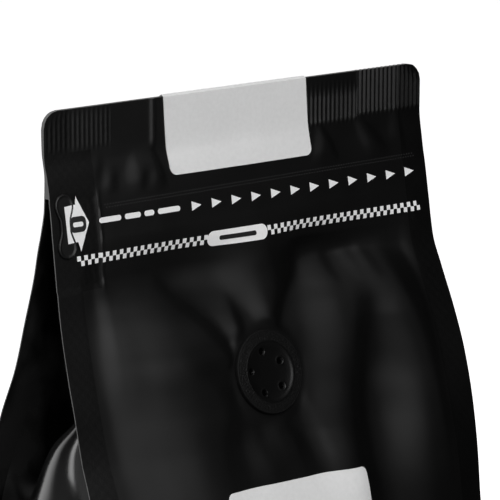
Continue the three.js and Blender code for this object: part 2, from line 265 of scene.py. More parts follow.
FRONT_FOLDS: tuple[Flank, ...] = (
    # the broad swell behind the left seal, and the smaller folds that run from it to the valve
    Flank(((45, -44, 9, 0.1), (51, -44, 11, 0.18), (60, -43, 12.5, 0.24), (76, -42.5, 14, 0.27),
           (95, -42, 15, 0.25), (125, -42, 15, 0.2), (165, -42, 14, 0.08))),
    Flank(((50, -48, 3, 0.05), (60, -48.5, 3.5, 0.06), (90, -49, 5, 0.06))),
    Flank(((44, -14, 13, 0.28), (48, -14, 12, 0.22), (53, -12, 10, 0.06))),
    Flank(((47, -29.5, 2.2, -0.22), (50, -28, 2.5, -0.34), (54, -24, 3, -0.34), (58, -20, 2.6, -0.42),
           (62, -16.5, 2.2, -0.5), (68, -12.5, 1.7, -0.5))),
    Flank(((65, -26, 4, -0.06), (70, -22, 5, -0.15), (75, -17, 4, -0.17), (80, -16, 4, -0.08))),
    Flank(((53, -14, 5, 0.12), (58, -12.5, 3, 0.17), (62, -11.5, 2.2, 0.32), (66, -9.5, 1.5, 0.36))),
    Flank(((55, -8.5, 1.3, -0.2), (58, -8, 1.6, -0.36), (63, -7, 1.3, -0.4))),
    # the peak over the valve and the deep wedge beside it
    Flank(((43, -5, 7, 0.11), (50, -4.5, 6, 0.2), (54, -3, 4.6, 0.25), (58, -1.2, 3.2, 0.27),
           (63, -0.4, 1.8, 0.26))),
    Flank(((41, 13, 7, -0.32), (46, 13, 7, -0.48), (50, 12, 5.8, -0.6), (54, 9.8, 4.3, -0.74),
           (58, 6.7, 2.9, -0.8), (63, 4.2, 1.6, -0.7))),
    Flank(((46, 16, 3, -0.12), (50, 16, 2.5, -0.2), (53, 16.5, 2, -0.08))),
    # the folds to the right of the valve
    Flank(((50, 22, 3.5, 0.12), (56, 20.5, 4.8, 0.18), (62, 19, 6, 0.19), (70, 17.5, 6.5, 0.2),
           (78, 16.5, 5, 0.15), (86, 14.5, 4.5, 0.19), (93, 15, 4, 0.17), (110, 14, 4, 0.08))),
    Flank(((46, 28, 1.7, -0.14), (50, 28, 1.7, -0.25), (54, 28.5, 1.4, -0.14))),
    Flank(((47, 33, 1.4, 0.1), (52, 34, 1.8, 0.12))),
    Flank(((46, 37.5, 1.2, 0.14), (52, 37.8, 1.4, 0.08))),
    Flank(((48, 40.5, 1.4, -0.18), (53, 41, 1.6, -0.12))),
    Flank(((56, 34.5, 2.8, -0.1), (64, 32, 3.2, -0.28), (70, 30.5, 3.5, -0.42), (76, 29, 3.8, -0.5),
           (84, 26.5, 4, -0.55), (94, 25.5, 4.2, -0.56), (106, 25, 4.5, -0.48), (130, 24, 5, -0.25),
           (165, 24, 5, -0.08))),
    Flank(((58, 41, 3, 0.08), (63, 40.5, 3.5, 0.14), (68, 41, 4.5, 0.2), (74, 41.5, 5.5, 0.24),
           (80, 41.5, 7, 0.22), (90, 40.5, 6.5, 0.26), (105, 39, 7, 0.2), (150, 38, 7, 0.08))),
    Flank(((47, 48, 3.5, -0.15), (51, 49, 4.4, -0.42), (55, 50.2, 4.7, -0.58), (62, 52, 4.2, -0.6),
           (68, 53.2, 3.6, -0.5), (76, 54, 3.1, -0.38), (86, 54.5, 2.8, -0.26), (110, 55, 3, -0.12))),
    # the small folds below the valve
    Flank(((77, -15, 2, -0.12), (82, -16, 3, -0.15), (88, -18, 4, -0.16), (96, -19, 4, -0.1),
           (120, -20, 4, -0.03))),
    Flank(((85, -12, 2, 0.05), (90, -12, 2.6, 0.1), (95, -11, 3.5, 0.12), (102, -10, 4, 0.05))),
    Flank(((84, -4.5, 2.6, 0.1), (87, -4.5, 2.6, 0.15), (92, -4, 3, 0.07))),
    Flank(((84, 1.5, 1.8, -0.14), (87, 2, 2.1, -0.17), (90, 4.3, 2, -0.27), (94, 5.5, 2.8, -0.22),
           (102, 7, 3, -0.08))),
    Flank(((80, 8.3, 1.6, 0.14), (84, 8.8, 2.2, 0.22), (90, 10.5, 3, 0.14), (98, 12, 3.5, 0.06))),
)

SEAL_PUCKERS: tuple[Flank, ...] = (
    Flank(((14, -45.8, 1.2, -0.12), (18.5, -47.3, 1, -0.15))),
    Flank(((16.5, -44.2, 1.2, 0.12), (21, -45.5, 1.3, 0.2))),
    Flank(((18, -41.7, 1.2, -0.2), (21, -42.3, 1.3, -0.17))),
    Flank(((14.5, -35.8, 1.3, 0.15), (18, -36.5, 2.2, 0.21), (21.5, -36.5, 2, 0.17))),
    Flank(((19, -32.6, 0.9, -0.25), (21.5, -33.1, 1, -0.25))),
    Flank(((18.5, -29.8, 1.1, 0.2), (21.5, -30, 1.2, 0.2))),
    Flank(((13, -28.8, 0.9, -0.3), (17, -27.6, 1.2, -0.35), (21.5, -26.4, 1.3, -0.3))),
    Flank(((13.6, 27.2, 0.9, 0.15), (18, 26.6, 1.7, 0.25), (21.5, 25.6, 1.7, 0.2))),
    Flank(((13.4, 28.4, 0.7, -0.3), (17, 30.6, 1.1, -0.38), (21.5, 32.3, 1.1, -0.33))),
    Flank(((13.4, 40.6, 0.8, 0.2), (18, 42.4, 1.4, 0.25), (21.5, 44.1, 1.4, 0.2))),
    Flank(((13.4, 43.3, 0.8, -0.2), (17, 46.5, 1.5, -0.25), (21.5, 49.6, 1.8, -0.17))),
    Flank(((12.5, 53.4, 1.3, 0.12), (18, 53, 1.4, 0.15))),
    Flank(((12.5, 55.6, 0.7, -0.25), (22, 56.8, 0.7, -0.25))),
    Flank(((38.5, 56.2, 0.7, 0.2), (41.5, 57.4, 0.8, 0.2))),
    Flank(((36.5, 58.2, 0.7, -0.2), (40, 58.9, 0.8, -0.2))),
)

BACK_FOLDS: tuple[Flank, ...] = (
    Flank(((46, -44, 6, 0.16), (60, -43, 10, 0.24), (90, -42, 12, 0.24), (140, -42, 12, 0.1))),
    Flank(((44, -33, 2, -0.25), (56, -30, 4, -0.35), (90, -28, 5, -0.3), (130, -29, 5, -0.1))),
    Flank(((46, -19, 2, 0.2), (58, -17, 5, 0.28), (84, -18, 7, 0.22), (120, -18, 6, 0.08))),
    Flank(((42, -4, 2.2, -0.3), (52, -6, 4, -0.42), (70, -5, 5, -0.3), (95, -4, 5, -0.1))),
    Flank(((44, 10, 2, 0.25), (60, 8, 5, 0.3), (90, 10, 7, 0.24), (140, 12, 7, 0.06))),
    Flank(((42, 25, 2, -0.3), (56, 28, 4, -0.45), (80, 28, 5, -0.4), (120, 27, 5, -0.15))),
    Flank(((50, 40, 3, 0.2), (66, 41, 6, 0.26), (100, 42, 8, 0.22), (150, 42, 8, 0.08))),
    Flank(((48, 50, 4, -0.3), (58, 51, 4.5, -0.5), (72, 53, 4, -0.35), (110, 54, 3, -0.15))),
    Flank(((13, -43, 1, 0.3), (21, -45, 1.6, 0.4))),
    Flank(((13, -38, 1, -0.4), (21, -38.5, 1.6, -0.5))),
    Flank(((13, 32, 1, 0.4), (21, 33, 1.6, 0.5))),
    Flank(((13, 36, 1, -0.4), (21, 39, 1.6, -0.5))),
)


@dataclass(frozen=True)
class Rib:
    """A group of upright crimped ribs pressed into the top seal."""

    left: float
    right: float
    top: float
    bottom: float
    depth: float
    pitch: float = 1.5

    def height(self, across: Places, drop: Places) -> Places:
        """Raise the ribs, with hollows a little wider than their crests.

        Args:
            across: Places across the panel.
            drop: Places down the panel.

        Returns:
            Heights, forward positive.
        """
        window = smooth((across - self.left) / 0.5 + 0.5) * smooth((self.right - across) / 0.5 + 0.5)
        ends = smooth((drop - self.top) / 2.2 + 0.5) * smooth((self.bottom - drop) / 0.7 + 0.5)
        wave = np.cos(math.tau * (across - self.left) / self.pitch)
        return self.depth * window * ends * (wave - 0.25 * (1 - wave * wave))


@dataclass(frozen=True)
class Tunnel:
    """The upright channel in the top seal beside the ribs."""

    across: float = -28.5
    half: float = 0.75
    bottom: float = 13.5
    ease: float = 3
    high: float = 0.45

    def height(self, across: Places, drop: Places) -> Places:
        """Return the channel's height at each place."""
        return self.high * hump(across, self.across, self.half) * smooth((self.bottom - drop) / self.ease)


@dataclass(frozen=True)
class WeldPad:
    """The sunken welded pad under the pull tab, with a wavy lip along its right edge."""

    right: float = -48.6
    top: float = 21.6
    bottom: float = 45.8
    depth: float = 0.22
    lip: float = -48.3
    lip_half: float = 0.55
    crinkle: float = 0.05

    def height(self, across: Places, drop: Places) -> Places:
        """Sink the pad, raise its lip and crinkle its film.

        Args:
            across: Places across the panel.
            drop: Places down the panel.

        Returns:
            Heights, forward positive.
        """
        pad = smooth((self.right - across) / 0.9 + 0.5)
        pad = pad * smooth((drop - self.top) / 0.8) * smooth((self.bottom - drop) / 0.8)
        lip = hump(across, self.lip - 0.12 * np.sin(drop * 1.1), self.lip_half)
        lip = lip * smooth((drop - 20) / 3) * smooth((47.5 - drop) / 4)
        crinkle = ripple(across * 2.4, drop * 0.35, 2.6, 9) * smooth((across + 57) / 3)
        return self.depth * (lip - pad) + self.crinkle * pad * crinkle


@dataclass(frozen=True)
class ZipperTrack:
    """A low ridge that the closed zipper pushes through the film."""

    drop: float
    high: float
    left: float = -47.5
    right: float = 60.5
    half: float = 0.42
    lean: float = 0.006

    def height(self, across: Places, drop: Places) -> Places:
        """Return the ridge's height at each place."""
        inside = smooth((across - self.left) / 1.5) * smooth((self.right - across) / 2.0)
        return self.high * inside * hump(drop, self.drop - self.lean * across, self.half)


@dataclass(frozen=True)
class Shelf:
    """The ledge that the film makes under the zipper, full at the left and gone at the right."""

    high: float = 1.1
    start: float = 39.5
    rise: float = 9
    end: float = 58
    fall: float = 24
    right: float = 8
    narrow: float = 26

    def height(self, across: Places, drop: Places) -> Places:
        """Return the ledge's height at each place."""
        down = smooth((drop - self.start) / self.rise) * (1 - smooth((drop - self.end) / self.fall))
        return self.high * down * smooth((self.right - across) / self.narrow)


@dataclass(frozen=True)
class Pouch:
    """The pouch's sizes, and the shape of its panels as functions of place.

    The front and back curves give how far each panel stands off the middle plane at its two side seals.
    """

    height: float = BAG_SPAN.bottom
    width: float = BAG_SPAN.right - BAG_SPAN.left
    depth: float = 74.0
    seal: float = 8.0
    film: float = 0.36
    corner: float = 4.5
    ribs: tuple[Rib, ...] = (
        Rib(-62.9, -42.0, 1.2, 10.3, 0.08),
        Rib(22.4, 41.0, 4.2, 12.7, 0.22),
        Rib(41.0, 63.4, -3.0, 11.7, 0.26),
    )
    tunnel: Tunnel = Tunnel()
    pad: WeldPad = WeldPad()
    tracks: tuple[ZipperTrack, ...] = (
        ZipperTrack(33.5, 0.10),
        ZipperTrack(35.1, 0.05),
        ZipperTrack(41.4, 0.13),
        ZipperTrack(42.6, 0.05),
    )
    shelf: Shelf = Shelf()
    valve_across: float = -1.8
    valve_drop: float = 73.0
    valve_radius: float = 11.2
    seat_margin: float = 2.5
    seat_ease: float = 2.6
    slackness: float = 0.03
    crumple: float = 0.75
    valley_place: float = 0.49
    front_left: Curve = Curve((
        (0, 0.6), (10, 0.8), (13.2, 1.1), (16.9, 2.2), (25.4, 3.9), (31.7, 4.8), (41.5, 6.2),
        (52.3, 7.8), (66.9, 11.2), (75.8, 13.8), (88.4, 17.2), (95.4, 19.9), (115, 26), (140, 32.5),
        (165, 36), (190, 37), (210, 37)))
    front_right: Curve = Curve((
        (0, 0.6), (12, 0.7), (20, 1.8), (27.1, 3.4), (39.1, 5.7), (46.3, 7.2), (53.5, 10.6),
        (64.7, 16.2), (75, 20.5), (88.1, 24.2), (101.4, 26.6), (115.1, 28.2), (135, 31.5), (160, 35.6),
        (190, 37), (210, 37)))
    back_left: Curve = Curve((
        (0, 0.6), (10, 0.2), (17.1, -1), (24.6, -0.8), (30.5, 0.3), (36.4, 1.9), (43.1, 3.4), (55, 7.1),
        (68.1, 11.2), (81.5, 17.3), (105.7, 25.9), (125, 30.5), (150, 34.8), (175, 36.7), (195, 37),
        (210, 37)))
    back_right: Curve = Curve((
        (0, 0.6), (12, 0.3), (20, -0.4), (27, 0), (39, 3), (46, 5), (53.5, 8), (64.7, 12.5), (75, 16.5),
        (88, 21), (101, 25), (115, 28.2), (135, 32), (160, 35.8), (190, 37), (210, 37)))
    belly: Curve = Curve((
        (0, 0), (56, 0), (75, -0.8), (88, 0.5), (100, 2.5), (120, 4.9), (145, 6.5), (170, 6), (190, 4),
        (205, 1.2), (210, 0.4)))
    side_bulge: Curve = Curve((
        (0, 0), (60, 0), (78, 2.2), (88, 4.4), (100, 5.2), (112, 5.2), (125, 4.8), (145, 4.0),
        (165, 4.2), (190, 3.6), (205, 1.6), (210, 1)))
    ridge_place: Curve = Curve((
        (0, -0.96), (48, -0.94), (66, -0.75), (78, -0.45), (88, 0.1), (100, 0.36), (112, 0.54),
        (126, 0.68), (145, 0.92), (210, 0.97)))
    ridge_inward: Curve = Curve((
        (0, 0.3), (48, 1.2), (66, 1.8), (78, -0.4), (87, -2.3), (94, -3), (100, -3), (106, -2.8),
        (118, -1.4), (150, 0), (210, 0)))
    valley_share: Curve = Curve((
        (0, 1), (40, 1), (60, 0.97), (76, 0.85), (88, 0.68), (100, 0.5), (112, 0.33), (125, 0.16),
        (140, 0.03), (150, 0), (210, 0)))

    @property
    def half(self) -> float:
        """Half the width over the seals."""
        return self.width / 2

    @property
    def root(self) -> float:
        """Distance from the middle to the inner edge of a side seal."""
        return self.width / 2 - self.seal

    def half_width(self, drop: Places) -> Places:
        """Return half the width at each drop, less at the rounded top corners."""
        near = np.clip(self.corner - drop, 0, self.corner)
        return self.half - self.corner + np.sqrt(np.maximum(self.corner**2 - near**2, 0))

    def off_seals(self, across: Places) -> Places:
        """Return 1 between the side seals and 0 on them, with a soft change."""
        return smooth((self.root + 2.0 - np.abs(across)) / 6.0)

    def calm(self, across: Places, drop: Places) -> Places:
        """Return 1 where the film may wrinkle freely and 0 where a weld or the valve holds it flat."""
        away = np.hypot(across - self.valve_across, drop - self.valve_drop)
        return self.off_seals(across) * smooth((away - self.valve_radius + 0.5) / 4.0)

    def panel(self, across: Places, drop: Places, left: Curve, right: Curve) -> Places:
        """Span a bellied panel between its two side seals.

        Args:
            across: Places across the panel.
            drop: Places down the panel.
            left: Stand-off at the left seal.
            right: Stand-off at the right seal.

        Returns:
            Distances from the middle plane, without folds.
        """
        s = (across + self.half) / self.width
        swell = self.belly(drop) * (1 - np.abs(across / self.half) ** 4)
        return left(drop) * (1 - s) + right(drop) * s + swell

    def free_front(self, across: Places, drop: Places) -> Places:
        """Shape the front panel with its shelf and its folds, as if it had no valve.

        Args:
            across: Places across the panel.
            drop: Places down the panel.

        Returns:
            Distances in front of the middle plane.
        """
        plain = self.panel(across, drop, self.front_left, self.front_right)
        plain = plain + self.shelf.height(across, drop) * smooth((across + self.root) / 8)
        holds = (-self.root - 1, self.valve_across, self.root + 1)
        return plain + self.off_seals(across) * folded(FRONT_FOLDS, across, drop, holds)

    @cached_property
    def seat(self) -> tuple[float, float, float]:
        """The plane that the valve holds flat: its level and its slopes across and down."""
        turn = np.linspace(0, math.tau, 48, endpoint=False)
        ring = self.valve_radius + self.seat_margin
        across, drop = self.valve_across + ring * np.cos(turn), self.valve_drop + ring * np.sin(turn)
        high = self.free_front(across, drop)
        slopes = (float(2 * (high * wave(turn)).mean() / ring) for wave in (np.cos, np.sin))
        return float(high.mean()), *slopes

    def front(self, across: Places, drop: Places, pressed: bool = True) -> Places:
        """Return the front panel's outer face in front of the middle plane.

        Args:
            across: Places across the panel.
            drop: Places down the panel.
            pressed: Whether to count the ribs and other fine marks that are pressed in.

        Returns:
            Distances towards the front.
        """
        across, drop = np.broadcast_arrays(np.asarray(across, float), np.asarray(drop, float))
        level, slope_x, slope_d = self.seat
        right, down = across - self.valve_across, drop - self.valve_drop
        hold = 1 - smooth((np.hypot(right, down) - self.valve_radius - 0.2) / self.seat_ease)
        total = self.free_front(across, drop) * (1 - hold) + (level + slope_x * right + slope_d * down) * hold
        total = total + folded(SEAL_PUCKERS, across, drop, (-self.root - 4, self.root + 4))
        soft = smooth((drop - 12) / 8) * smooth((self.root - np.abs(across)) / 5) * self.calm(across, drop)
        total = total + self.slackness * soft * ripple(across, drop * 0.55, 9.0, 4)
        return total + self.pressed(across, drop) if pressed else total

    def pressed(self, across: Places, drop: Places) -> Places:
        """Add up the fine relief that is pressed into the front: ribs, channel, weld pad and tracks."""
        return sum(mark.height(across, drop) for mark in (*self.ribs, self.tunnel, self.pad, *self.tracks))

    def back(self, across: Places, drop: Places, pressed: bool = True) -> Places:
        """Return the back panel's outer face behind the middle plane.

        Args:
            across: Places across the panel.
            drop: Places down the panel.
            pressed: Whether to count the ribs.

        Returns:
            Distances towards the back.
        """
        across, drop = np.broadcast_arrays(np.asarray(across, float), np.asarray(drop, float))
        out = self.panel(across, drop, self.back_left, self.back_right)
        holds = (-self.root - 1, 0.0, self.root + 1)
        out = out + self.off_seals(across) * folded(BACK_FOLDS, across, drop, holds)
        return out - sum(rib.height(across, drop) for rib in self.ribs) if pressed else out

    def wrinkles(self, side: float, drop: Places, t: Places, u: Places, half: Places) -> Places:
        """Crumple a gusset's wall, most on its inner ply.

        Args:
            side: 1 for the right side, -1 for the left.
            drop: Places down the side.
            t: Distance along the wall, ridge and inner ply, from 0 to 3.
            u: Place from -1 at the front seal to 1 at the back seal.
            half: Half the gusset's width at each drop.

        Returns:
            Heights, outward positive.
        """
        waves = ripple(u * half * 1.5, drop * 0.9 + u * half * 0.8, 13.0, 11 + int(side))
        streaks = ripple(u * half * 1.7 + drop * 1.1, u * half * 0.35 - drop * 0.2, 7.5, 15 + int(side))
        waves = waves + 0.6 * streaks * smooth((t - 1.7) / 0.6)
        loose = np.clip(1 - u**2, 0, 1) * smooth((drop - 36) / 30) * (0.05 + 0.95 * smooth(t - 1.4))
        return self.crumple * waves * loose * smooth((190 - drop) / 40)

    def gusset(self, side: float, drop: Places, along: Places, inset: Places) -> tuple[Places, Places]:
        """Return the gusset's wall between its two side seals.

        From the front seal a bulging wall runs to a ridge, turns in to a valley and comes back out
        to the back seal as the inner ply.

        Args:
            side: 1 for the right side, -1 for the left.
            drop: Places down the side.
            along: From -1 at the front seal over 0 at the fold to 1 at the back seal.
            inset: How far the wall is drawn in, for the rounded edge of the base.

        Returns:
            Places across, and places from front (negative) to back.
        """
        skin = inset + self.film
        near = -self.front(side * self.root, drop, False) + skin
        far = self.back(side * self.root, drop, False) - skin
        middle, half = (near + far) / 2, (far - near) / 2
        ridge, ridge_in = self.ridge_place(drop), self.ridge_inward(drop)
        valley = ridge + (1 - ridge) * self.valley_place
        open_depth = np.sqrt(np.maximum((self.depth / 2) ** 2 - (half + skin) ** 2, 0))
        valley_in = np.maximum(open_depth * self.valley_share(drop), ridge_in)
        t = (along + 1) * 1.5
        wall, turn, ply = np.clip(t, 0, 1), np.clip(t - 1, 0, 1), np.clip(t - 2, 0, 1)
        u = -1 + wall * (ridge + 1) + turn * (valley - ridge) + ply * (1 - valley)
        inward = ridge_in * wall - self.side_bulge(drop) * 4 * wall * (1 - wall)
        inward = inward + turn * (valley_in - ridge_in) - ply * valley_in
        inward = inward - self.wrinkles(side, drop, t, u, half)
        x = side * (self.root - inward - (1 - u**8) * inset)
        y = middle + u * half
        y = np.where(u < 0, np.maximum(y, -self.front(x, drop, False) + skin), y)
        return x, np.where(u > 0, np.minimum(y, self.back(x, drop, False) - skin), y)


POUCH = Pouch()


def place(across: Places | float, out: Places | float, drop: Places | float) -> Places:
    """Turn places on the front panel into points of the frame, in metres.

    Args:
        across: Millimetres from the middle, right positive.
        out: Millimetres in front of the middle plane.
        drop: Millimetres below the top edge.

    Returns:
        An array of points.
    """
    parts = (np.asarray(across, float), -np.asarray(out, float), POUCH.height - np.asarray(drop, float))
    return np.stack(np.broadcast_arrays(*parts), -1) * MM


# ---------------------------------------------------------------- making objects


def linked(name: str, mesh: bpy.types.Mesh, sharp: float) -> bpy.types.Object:
    """Put a mesh in the scene as an object, with soft shading that breaks at sharp edges.

    Args:
        name: Name of the object.
        mesh: Its mesh.
        sharp: Edges bent more than this, in degrees, stay crisp.

    Returns:
        The new object.
    """
    mesh.shade_smooth()
    mesh.set_sharp_from_angle(angle=math.radians(sharp))
    piece = bpy.data.objects.new(name, mesh)
    bpy.context.scene.collection.objects.link(piece)
    return piece


def new_mesh(name: str, points: Places, faces: Sequence[Sequence[int]], sharp: float) -> bpy.types.Object:
    """Make a mesh object from its points and faces.

    Args:
        name: Name of the object and its mesh.
        points: Points in metres.
        faces: Corners of each face.
        sharp: Edges bent more than this, in degrees, stay crisp.

    Returns:
        The new object, linked to the scene.
    """
    mesh = bpy.data.meshes.new(name)
    mesh.from_pydata(np.asarray(points).tolist(), [], [list(f) for f in faces])
    mesh.update()
    return linked(name, mesh, sharp)


Outlines = Sequence[Sequence[Point]]
Surface = Callable[[Places, Places, Places], Places]
Lift = Callable[[Places, Places], Places] | float


def cut_finely(shape: bmesh.types.BMesh, grain: float) -> None:
    """Cut flat outlines into a grid, so that they can bend.

    Args:
        shape: The flat outlines.
        grain: Distance between cuts, both ways.
    """
    flat = np.array([v.co[:2] for v in shape.verts])
    for axis in (0, 1):
        low, high = flat[:, axis].min(), flat[:, axis].max()
        for cut in np.arange(math.ceil(low / grain + 0.01) * grain, high - 0.01, grain):
            spot, normal = [0.0, 0.0, 0.0], [0.0, 0.0, 0.0]
            spot[axis], normal[axis] = float(cut), 1.0
            every = list(shape.verts) + list(shape.edges) + list(shape.faces)
            bmesh.ops.bisect_plane(shape, geom=every, dist=1e-5, plane_co=spot, plane_no=normal)


def laid_sheet(name: str, outlines: Outlines, grain: float, thickness: float, surface: Surface,
               lift: Lift, sharp: float = 40.0) -> bpy.types.Object:
    """Make thin closed sheets that lie on a surface.

    Args:
        name: Name of the piece.
        outlines: Closed outlines of the sheets, laid flat.
        grain: Largest size of a face, so that the sheet bends with the surface.
        thickness: Thickness of the sheet.
        surface: Turns flat places and a lift into points of the frame.
        lift: Height of the sheet's face above the surface, or a function of place.
        sharp: Edges bent more than this stay crisp.

    Returns:
        One object that holds all the sheets.
    """
    shape = bmesh.new()
    for outline in outlines:
        shape.faces.new([shape.verts.new((x, d, 0.0)) for x, d in outline])
    cut_finely(shape, grain)
    bmesh.ops.recalc_face_normals(shape, faces=shape.faces)
    front = list(shape.verts)
    grown = bmesh.ops.extrude_face_region(shape, geom=list(shape.faces))
    behind = [g for g in grown["geom"] if isinstance(g, bmesh.types.BMVert)]
    for verts, sink in ((front, 0.0), (behind, thickness)):
        flat = np.array([v.co[:2] for v in verts])
        high = lift(flat[:, 0], flat[:, 1]) if callable(lift) else np.full(len(flat), lift)
        for vert, co in zip(verts, surface(flat[:, 0], flat[:, 1], high - sink)):
            vert.co = co
    bmesh.ops.recalc_face_normals(shape, faces=shape.faces)
    if shape.calc_volume(signed=True) < 0:
        bmesh.ops.reverse_faces(shape, faces=shape.faces)
    mesh = bpy.data.meshes.new(name)
    shape.to_mesh(mesh)
    shape.free()
    return linked(name, mesh, sharp)


def on_front(across: Places, drop: Places, lift: Places) -> Places:
    """Return points at a height over the front panel."""
    return place(across, POUCH.front(across, drop) + lift, drop)


def on_calm_front(across: Places, drop: Places, lift: Places) -> Places:
    """Return points at a height over the front panel without its finest relief."""
    return place(across, POUCH.front(across, drop, False) + lift, drop)


def rounded_box(left: float, right: float, top: float, bottom: float, radius: float,
                turns: int) -> list[Point]:
    """Return the outline of a rectangle with round corners.

    Args:
        left: Left edge.
        right: Right edge.
        top: Smallest drop.
        bottom: Largest drop.
        radius: Radius of the corners.
        turns: Steps in each corner.

    Returns:
        The outline's points in order.
    """
    corners = ((right - radius, top + radius, -90), (right - radius, bottom - radius, 0),
               (left + radius, bottom - radius, 90), (left + radius, top + radius, 180))
    line = []
    for x, d, start in corners:
        for i in range(turns + 1):
            angle = math.radians(start + 90 * i / turns)
            line.append((x + radius * math.cos(angle), d + radius * math.sin(angle)))
    return line


# ---------------------------------------------------------------- finishes


class Bench:
    """Adds shader nodes to one material and wires them up."""

    def __init__(self, name: str) -> None:
        """Make an empty material with a Principled shader.

        Args:
            name: Name of the material.
        """
        self.material = bpy.data.materials.new(name)
        self.material.use_nodes = True
        self.tree = self.material.node_tree
        self.tree.nodes.clear()
        self.shader = self.tree.nodes.new("ShaderNodeBsdfPrincipled")
        end = self.tree.nodes.new("ShaderNodeOutputMaterial")
        self.tree.links.new(self.shader.outputs["BSDF"], end.inputs["Surface"])
        self.place = self.tree.nodes.new("ShaderNodeTexCoord").outputs["Object"]

    def set(self, **values: object) -> None:
        """Set plain values on the shader's own sockets; underscores stand for spaces."""
        for name, value in values.items():
            self.shader.inputs[name.replace("_", " ")].default_value = value

    def link(self, source: Socket, socket: str) -> None:
        """Wire a socket to one of the shader's inputs."""
        self.tree.links.new(source, self.shader.inputs[socket])

    def scaled(self, x: float, y: float, z: float, turn: float = 0.0) -> Socket:
        """Return the place on the object, stretched and turned about the depth axis.

        Args:
            x: Stretch across.
            y: Stretch in depth.
            z: Stretch in height.
            turn: Turn in degrees.

        Returns:
            The mapped place.
        """
        node = self.tree.nodes.new("ShaderNodeMapping")
        node.inputs["Scale"].default_value = (x, y, z)
        node.inputs["Rotation"].default_value = (0, math.radians(turn), 0)
        self.tree.links.new(self.place, node.inputs["Vector"])
        return node.outputs["Vector"]

    def noise(self, where: Socket, scale: float, detail: float = 3.0, rough: float = 0.5) -> Socket:
        """Return a cloudy pattern.

        Args:
            where: Place to read it at.
            scale: Clouds in a metre.
            detail: How many finer layers it has.
            rough: How strong those layers are.

        Returns:
            The pattern, from 0 to 1.
        """
        node = self.tree.nodes.new("ShaderNodeTexNoise")
        node.inputs["Scale"].default_value = scale
        node.inputs["Detail"].default_value = detail
        node.inputs["Roughness"].default_value = rough
        self.tree.links.new(where, node.inputs["Vector"])
        return node.outputs["Fac"]

    def wave(self, where: Socket, scale: float, bend: float) -> Socket:
        """Return nearly straight waves that run across the X axis.

        Args:
            where: Place to read them at.
            scale: Waves in a metre, over twenty.
            bend: How far they wander.

        Returns:
            The pattern, from 0 to 1.
        """
        node = self.tree.nodes.new("ShaderNodeTexWave")
        node.bands_direction = "X"
        node.inputs["Scale"].default_value = scale
        node.inputs["Distortion"].default_value = bend
        node.inputs["Detail"].default_value = 1.0
        self.tree.links.new(where, node.inputs["Vector"])
        return node.outputs["Fac"]

    def between(self, fac: Socket, low: float, high: float) -> Socket:
        """Spread a pattern over a range.

        Args:
            fac: The pattern, from 0 to 1.
            low: Value at 0.
            high: Value at 1.

        Returns:
            The spread pattern.
        """
        node = self.tree.nodes.new("ShaderNodeMapRange")
        node.inputs["To Min"].default_value = low
        node.inputs["To Max"].default_value = high
        self.tree.links.new(fac, node.inputs["Value"])
        return node.outputs["Result"]

    def ramp(self, fac: Socket, low: float, high: float, start: float = 0.3, end: float = 0.7) -> Socket:
        """Turn a pattern into a grey between two greys.

        Args:
            fac: The pattern.
            low: Grey at its low end.
            high: Grey at its high end.
            start: Value that counts as low.
            end: Value that counts as high.

        Returns:
            The colour.
        """
        node = self.tree.nodes.new("ShaderNodeValToRGB")
        for element, spot, grey in zip(node.color_ramp.elements, (start, end), (low, high)):
            element.position = spot
            element.color = (grey, grey, grey, 1)
        self.tree.links.new(fac, node.inputs["Fac"])
        return node.outputs["Color"]

    def add(self, a: Socket, b: Socket, share: float) -> Socket:
        """Add a share of one pattern to another.

        Args:
            a: The first pattern.
            b: The second pattern.
            share: How much of the second counts.

        Returns:
            The sum.
        """
        node = self.tree.nodes.new("ShaderNodeMath")
        node.operation = "MULTIPLY_ADD"
        node.inputs[1].default_value = share
        self.tree.links.new(b, node.inputs[0])
        self.tree.links.new(a, node.inputs[2])
        return node.outputs["Value"]

    def bump(self, height: Socket, depth: float, strength: float = 1.0) -> None:
        """Press a pattern into the surface.

        Args:
            height: The pattern.
            depth: Depth in millimetres from its low to its high end.
            strength: How much of it shows.
        """
        node = self.tree.nodes.new("ShaderNodeBump")
        node.inputs["Distance"].default_value = depth * MM
        node.inputs["Strength"].default_value = strength
        self.tree.links.new(height, node.inputs["Height"])
        self.link(node.outputs["Normal"], "Normal")


class FilmKind(Enum):
    """The kinds of surface that the laminated film shows."""

    PANEL = "panel"
    SEAL = "seal"
    GUSSET = "gusset"
    # cut faces: their pale grey finish is a painted highlight along the film's edges
    CUT_EDGE = "cut_edge"


